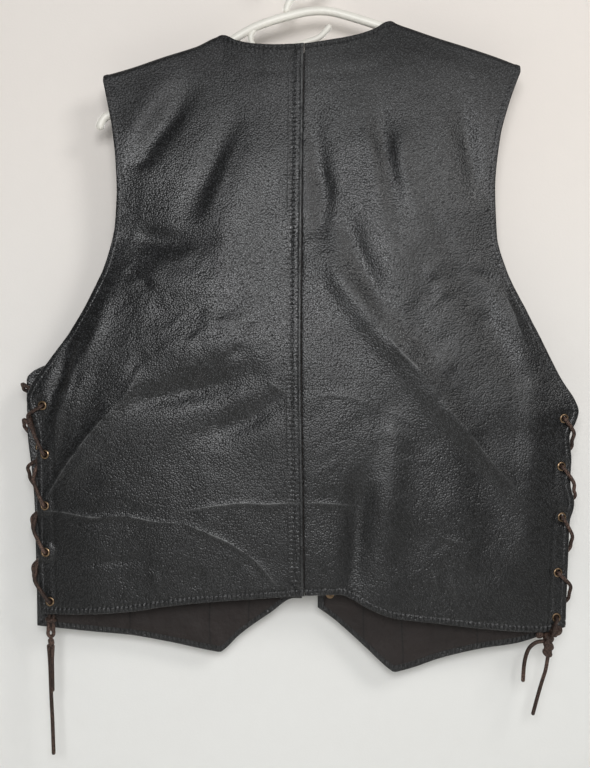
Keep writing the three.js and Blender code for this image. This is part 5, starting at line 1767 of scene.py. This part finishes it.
class VEST_OT_stitching(bpy.types.Operator):
    """Rows of stitching along the edges, the middle seam and the facings."""

    bl_idname = "vest.stitching"
    bl_label = "Stitching"

    def execute(self, context):
        material = [thread_material(context.scene.vest_colours)]
        for name in CUTS:
            panel = LeatherPanel(name)
            rows = [resample(np.stack(line, axis=-1), STITCH_PITCH) for line in self.lines(panel)]
            points, quads = self.stitches(panel, rows)
            settle_piece(new_piece(f"{name}_stitches", points, quads, material, merge=True), None)
            if panel.face > 0:
                points, quads = self.stitches(panel, [rows[1], rows[-1]], inside=True)
                settle_piece(new_piece(f"{name}_inner_stitches", points, quads, material, merge=True), None)
        return {"FINISHED"}

    def lines(self, panel):
        """Lines of stitching as x, z, each at its own distance from an edge."""
        side_z = np.linspace(panel.outer_top - 4, panel.outer_end + HEM_STITCH, 400)
        side_slope = np.hypot(1, slope_of(panel.outer_x, side_z))
        lines = [(panel.outer_x(side_z) - panel.side * EDGE_STITCH * side_slope, side_z)]
        end_x = panel.outer_x(panel.outer_end) - panel.side * EDGE_STITCH
        start_x = panel.inner_x(panel.inner_end) + panel.side * (1 if panel.face < 0 else EDGE_STITCH)
        hem_x = np.linspace(float(start_x), float(end_x), 300)
        hem_slope = np.hypot(1, slope_of(panel.hem_z, hem_x))
        lines.append((hem_x, panel.hem_z(hem_x) + HEM_STITCH * hem_slope))
        facing_z = np.linspace(FACING_TOP, panel.outer_end + HEM_STITCH, 200)
        lines.append((panel.outer_x(facing_z) - panel.side * FACING_STITCH, facing_z))
        if panel.face < 0:
            neck_x = np.linspace(panel.side * 1.5, panel.neck_x - panel.side * 3, 120)
            lines.append((neck_x, top_line(neck_x) - NECK_STITCH))
        if panel.name == "back_left":
            seam_z = np.linspace(panel.inner_top - 2, panel.inner_end + 1.5, 300)
            lines.append((panel.inner_x(seam_z) - SEAM_STITCH, seam_z))
        if panel.face > 0:
            front_z = np.linspace(panel.inner_top - 4, panel.inner_end + HEM_STITCH, 400)
            slope = np.hypot(1, slope_of(panel.inner_x, front_z))
            lines.append((panel.inner_x(front_z) + panel.side * EDGE_STITCH * slope, front_z))
        return lines

    def stitches(self, panel, rows, inside=False):
        """Each stitch is a long low drop of thread: its section shrinks to both ends as sin^0.6(a)."""
        a = np.linspace(0, np.pi, 5)
        b = np.arange(6) / 6 * 2 * np.pi
        along = -np.cos(a)[:, None] * np.ones(6)
        across = np.sin(a)[:, None] ** 0.6 * np.cos(b)
        up = np.sin(a)[:, None] ** 0.6 * np.sin(b)
        shape = np.stack([along, across, up], axis=-1).reshape(-1, 3) * STITCH_SIZE
        one = grid_quads(5, 6, closed=True)
        points, count = [], 0
        for row in rows:
            place, normal = panel.skin(row[:, 0], row[:, 1], inside)
            tangent = unit(np.gradient(place, axis=0))
            sideways = np.cross(normal, tangent)
            frames = np.stack([tangent, sideways, normal], axis=1)
            centres = (place + normal * STITCH_LIFT)[:, None, :]
            points.append(centres + np.einsum("vk,nkc->nvc", shape, frames))
            count += len(row)
        quads = (np.arange(count)[:, None, None] * len(shape) + one[None]).reshape(-1, 4)
        return np.concatenate(points).reshape(-1, 3), quads


# Half sections of the brass pieces, as radius and height above the leather's middle.
EYELET_PROFILE = [
    (2.95, -1.3), (3.2, -2.0), (4.1, -2.05), (4.9, -1.65), (5.1, -1.25), (3.45, -1.2),
    (3.4, 0.0), (3.45, 1.2), (5.05, 1.25), (4.9, 1.6), (4.3, 2.05), (3.5, 2.1),
    (3.0, 1.75), (2.8, 1.0), (2.78, 0.0), (2.82, -0.8), (2.95, -1.3),
]
SNAP_BACK = [(1.8, 0.6), (1.8, -2.0), (2.2, -2.4), (4.3, -2.4), (4.6, -2.6), (4.4, -3.2), (3.4, -3.6)]
CAP_PROFILE = [
    (0.0, 3.35), (2.0, 3.3), (3.6, 3.05), (4.8, 2.5), (5.5, 1.8), (5.8, 1.25), (5.2, 1.05), (2.2, 1.1),
    *SNAP_BACK, (1.9, -3.5), (1.5, -2.9), (0.0, -2.9),
]
STUD_PROFILE = [
    (0.0, 4.8), (1.2, 4.75), (1.85, 4.4), (1.75, 3.4), (1.6, 2.6), (1.9, 2.3), (3.6, 2.25), (4.5, 1.9),
    (4.6, 1.3), (4.2, 1.15), (2.0, 1.1), *SNAP_BACK, (1.6, -3.65), (0.0, -3.6),
]


class VEST_OT_eyelets(bpy.types.Operator):
    """Twenty rolled brass eyelets."""

    bl_idname = "vest.eyelets"
    bl_label = "Eyelets"

    def execute(self, context):
        material = [brass_material(context.scene.vest_colours)]
        profile = smooth_profile(EYELET_PROFILE, 2)
        for name in CUTS:
            for k, seat in enumerate(LeatherPanel(name).seats[:EYELETS]):
                node = f"eyelet_{name}_{k + 1}"
                settle_piece(turned_shape(f"{node}_ring", profile, seat, 28, material), "brass", node)
        return {"FINISHED"}


class VEST_OT_snaps(bpy.types.Operator):
    """The snaps' caps on the left front and studs on the right."""

    bl_idname = "vest.snaps"
    bl_label = "Snaps"

    def execute(self, context):
        material = [brass_material(context.scene.vest_colours)]
        sides = (("left", "snap_cap", CAP_PROFILE), ("right", "snap_stud", STUD_PROFILE))
        for hand, kind, corners in sides:
            profile = smooth_profile(corners, 3)
            for k, seat in enumerate(LeatherPanel(f"front_{hand}").seats[EYELETS:]):
                node = f"{kind}_{k + 1}"
                settle_piece(turned_shape(f"{node}_metal", profile, seat, 32, material), "brass", node)
        return {"FINISHED"}


class VEST_OT_hanger(bpy.types.Operator):
    """The plastic hanger: its bent tube, its hook and the small hook for straps."""

    bl_idname = "vest.hanger"
    bl_label = "Hanger"

    def execute(self, context):
        material = [plastic_material(context.scene.vest_colours)]
        arms = resample(rounded_corners(hanger_line(), ARM_BEND), 2.0)
        settle_piece(tube("hanger_arms", arms, ARM_RADIUS, 24, material), "hanger", "hanger")
        radius = HOOK_INSIDE_RADIUS + HOOK_RADIUS
        a = np.radians(np.linspace(-45, 190, 12))
        bend = np.stack([radius * np.cos(a), 0 * a, radius * np.sin(a) - HOOK_INSIDE_RADIUS], axis=-1)
        shank = np.array([(x, 0.0, z) for x, z in HOOK_SHANK])
        hook = smooth_path(np.concatenate([shank, bend]), 1.5)
        settle_piece(tube("hanger_hook", hook, HOOK_RADIUS, 20, material), "hanger")
        strap = smooth_path(np.array([(x, 0.0, z) for x, z in STRAP_HOOK], float), 1.5)
        settle_piece(tube("hanger_strap_hook", strap, STRAP_HOOK_RADIUS, 18, material), "hanger")
        return {"FINISHED"}


OPERATORS = (
    VEST_OT_stage, VEST_OT_lace_ends, VEST_OT_laces, VEST_OT_hanger, VEST_OT_backs, VEST_OT_fronts,
    VEST_OT_linings, VEST_OT_stitching, VEST_OT_eyelets, VEST_OT_snaps,
)


class VEST_PT_sidebar(bpy.types.Panel):
    """The vest's pieces, each with its button."""

    bl_idname = "VEST_PT_sidebar"
    bl_label = "Laced vest"
    bl_space_type = "VIEW_3D"
    bl_region_type = "UI"
    bl_category = "Vest"

    def draw(self, context):
        for group in (context.scene.vest_sizes, context.scene.vest_colours, context.scene.vest_stage):
            for key in group.__annotations__:
                self.layout.prop(group, key)
        for operator in OPERATORS:
            self.layout.operator(operator.bl_idname)


CLASSES = (VestSizes, VestColours, VestStage, *OPERATORS, VEST_PT_sidebar)


def register():
    for cls in CLASSES:
        bpy.utils.register_class(cls)
    bpy.types.Scene.vest_sizes = PointerProperty(type=VestSizes)
    bpy.types.Scene.vest_colours = PointerProperty(type=VestColours)
    bpy.types.Scene.vest_stage = PointerProperty(type=VestStage)


def unregister():
    del bpy.types.Scene.vest_stage
    del bpy.types.Scene.vest_colours
    del bpy.types.Scene.vest_sizes
    for cls in reversed(CLASSES):
        bpy.utils.unregister_class(cls)


def main():
    register()
    for operator in OPERATORS:
        group, name = operator.bl_idname.split(".")
        getattr(getattr(bpy.ops, group), name)()


if __name__ == "__main__":
    main()
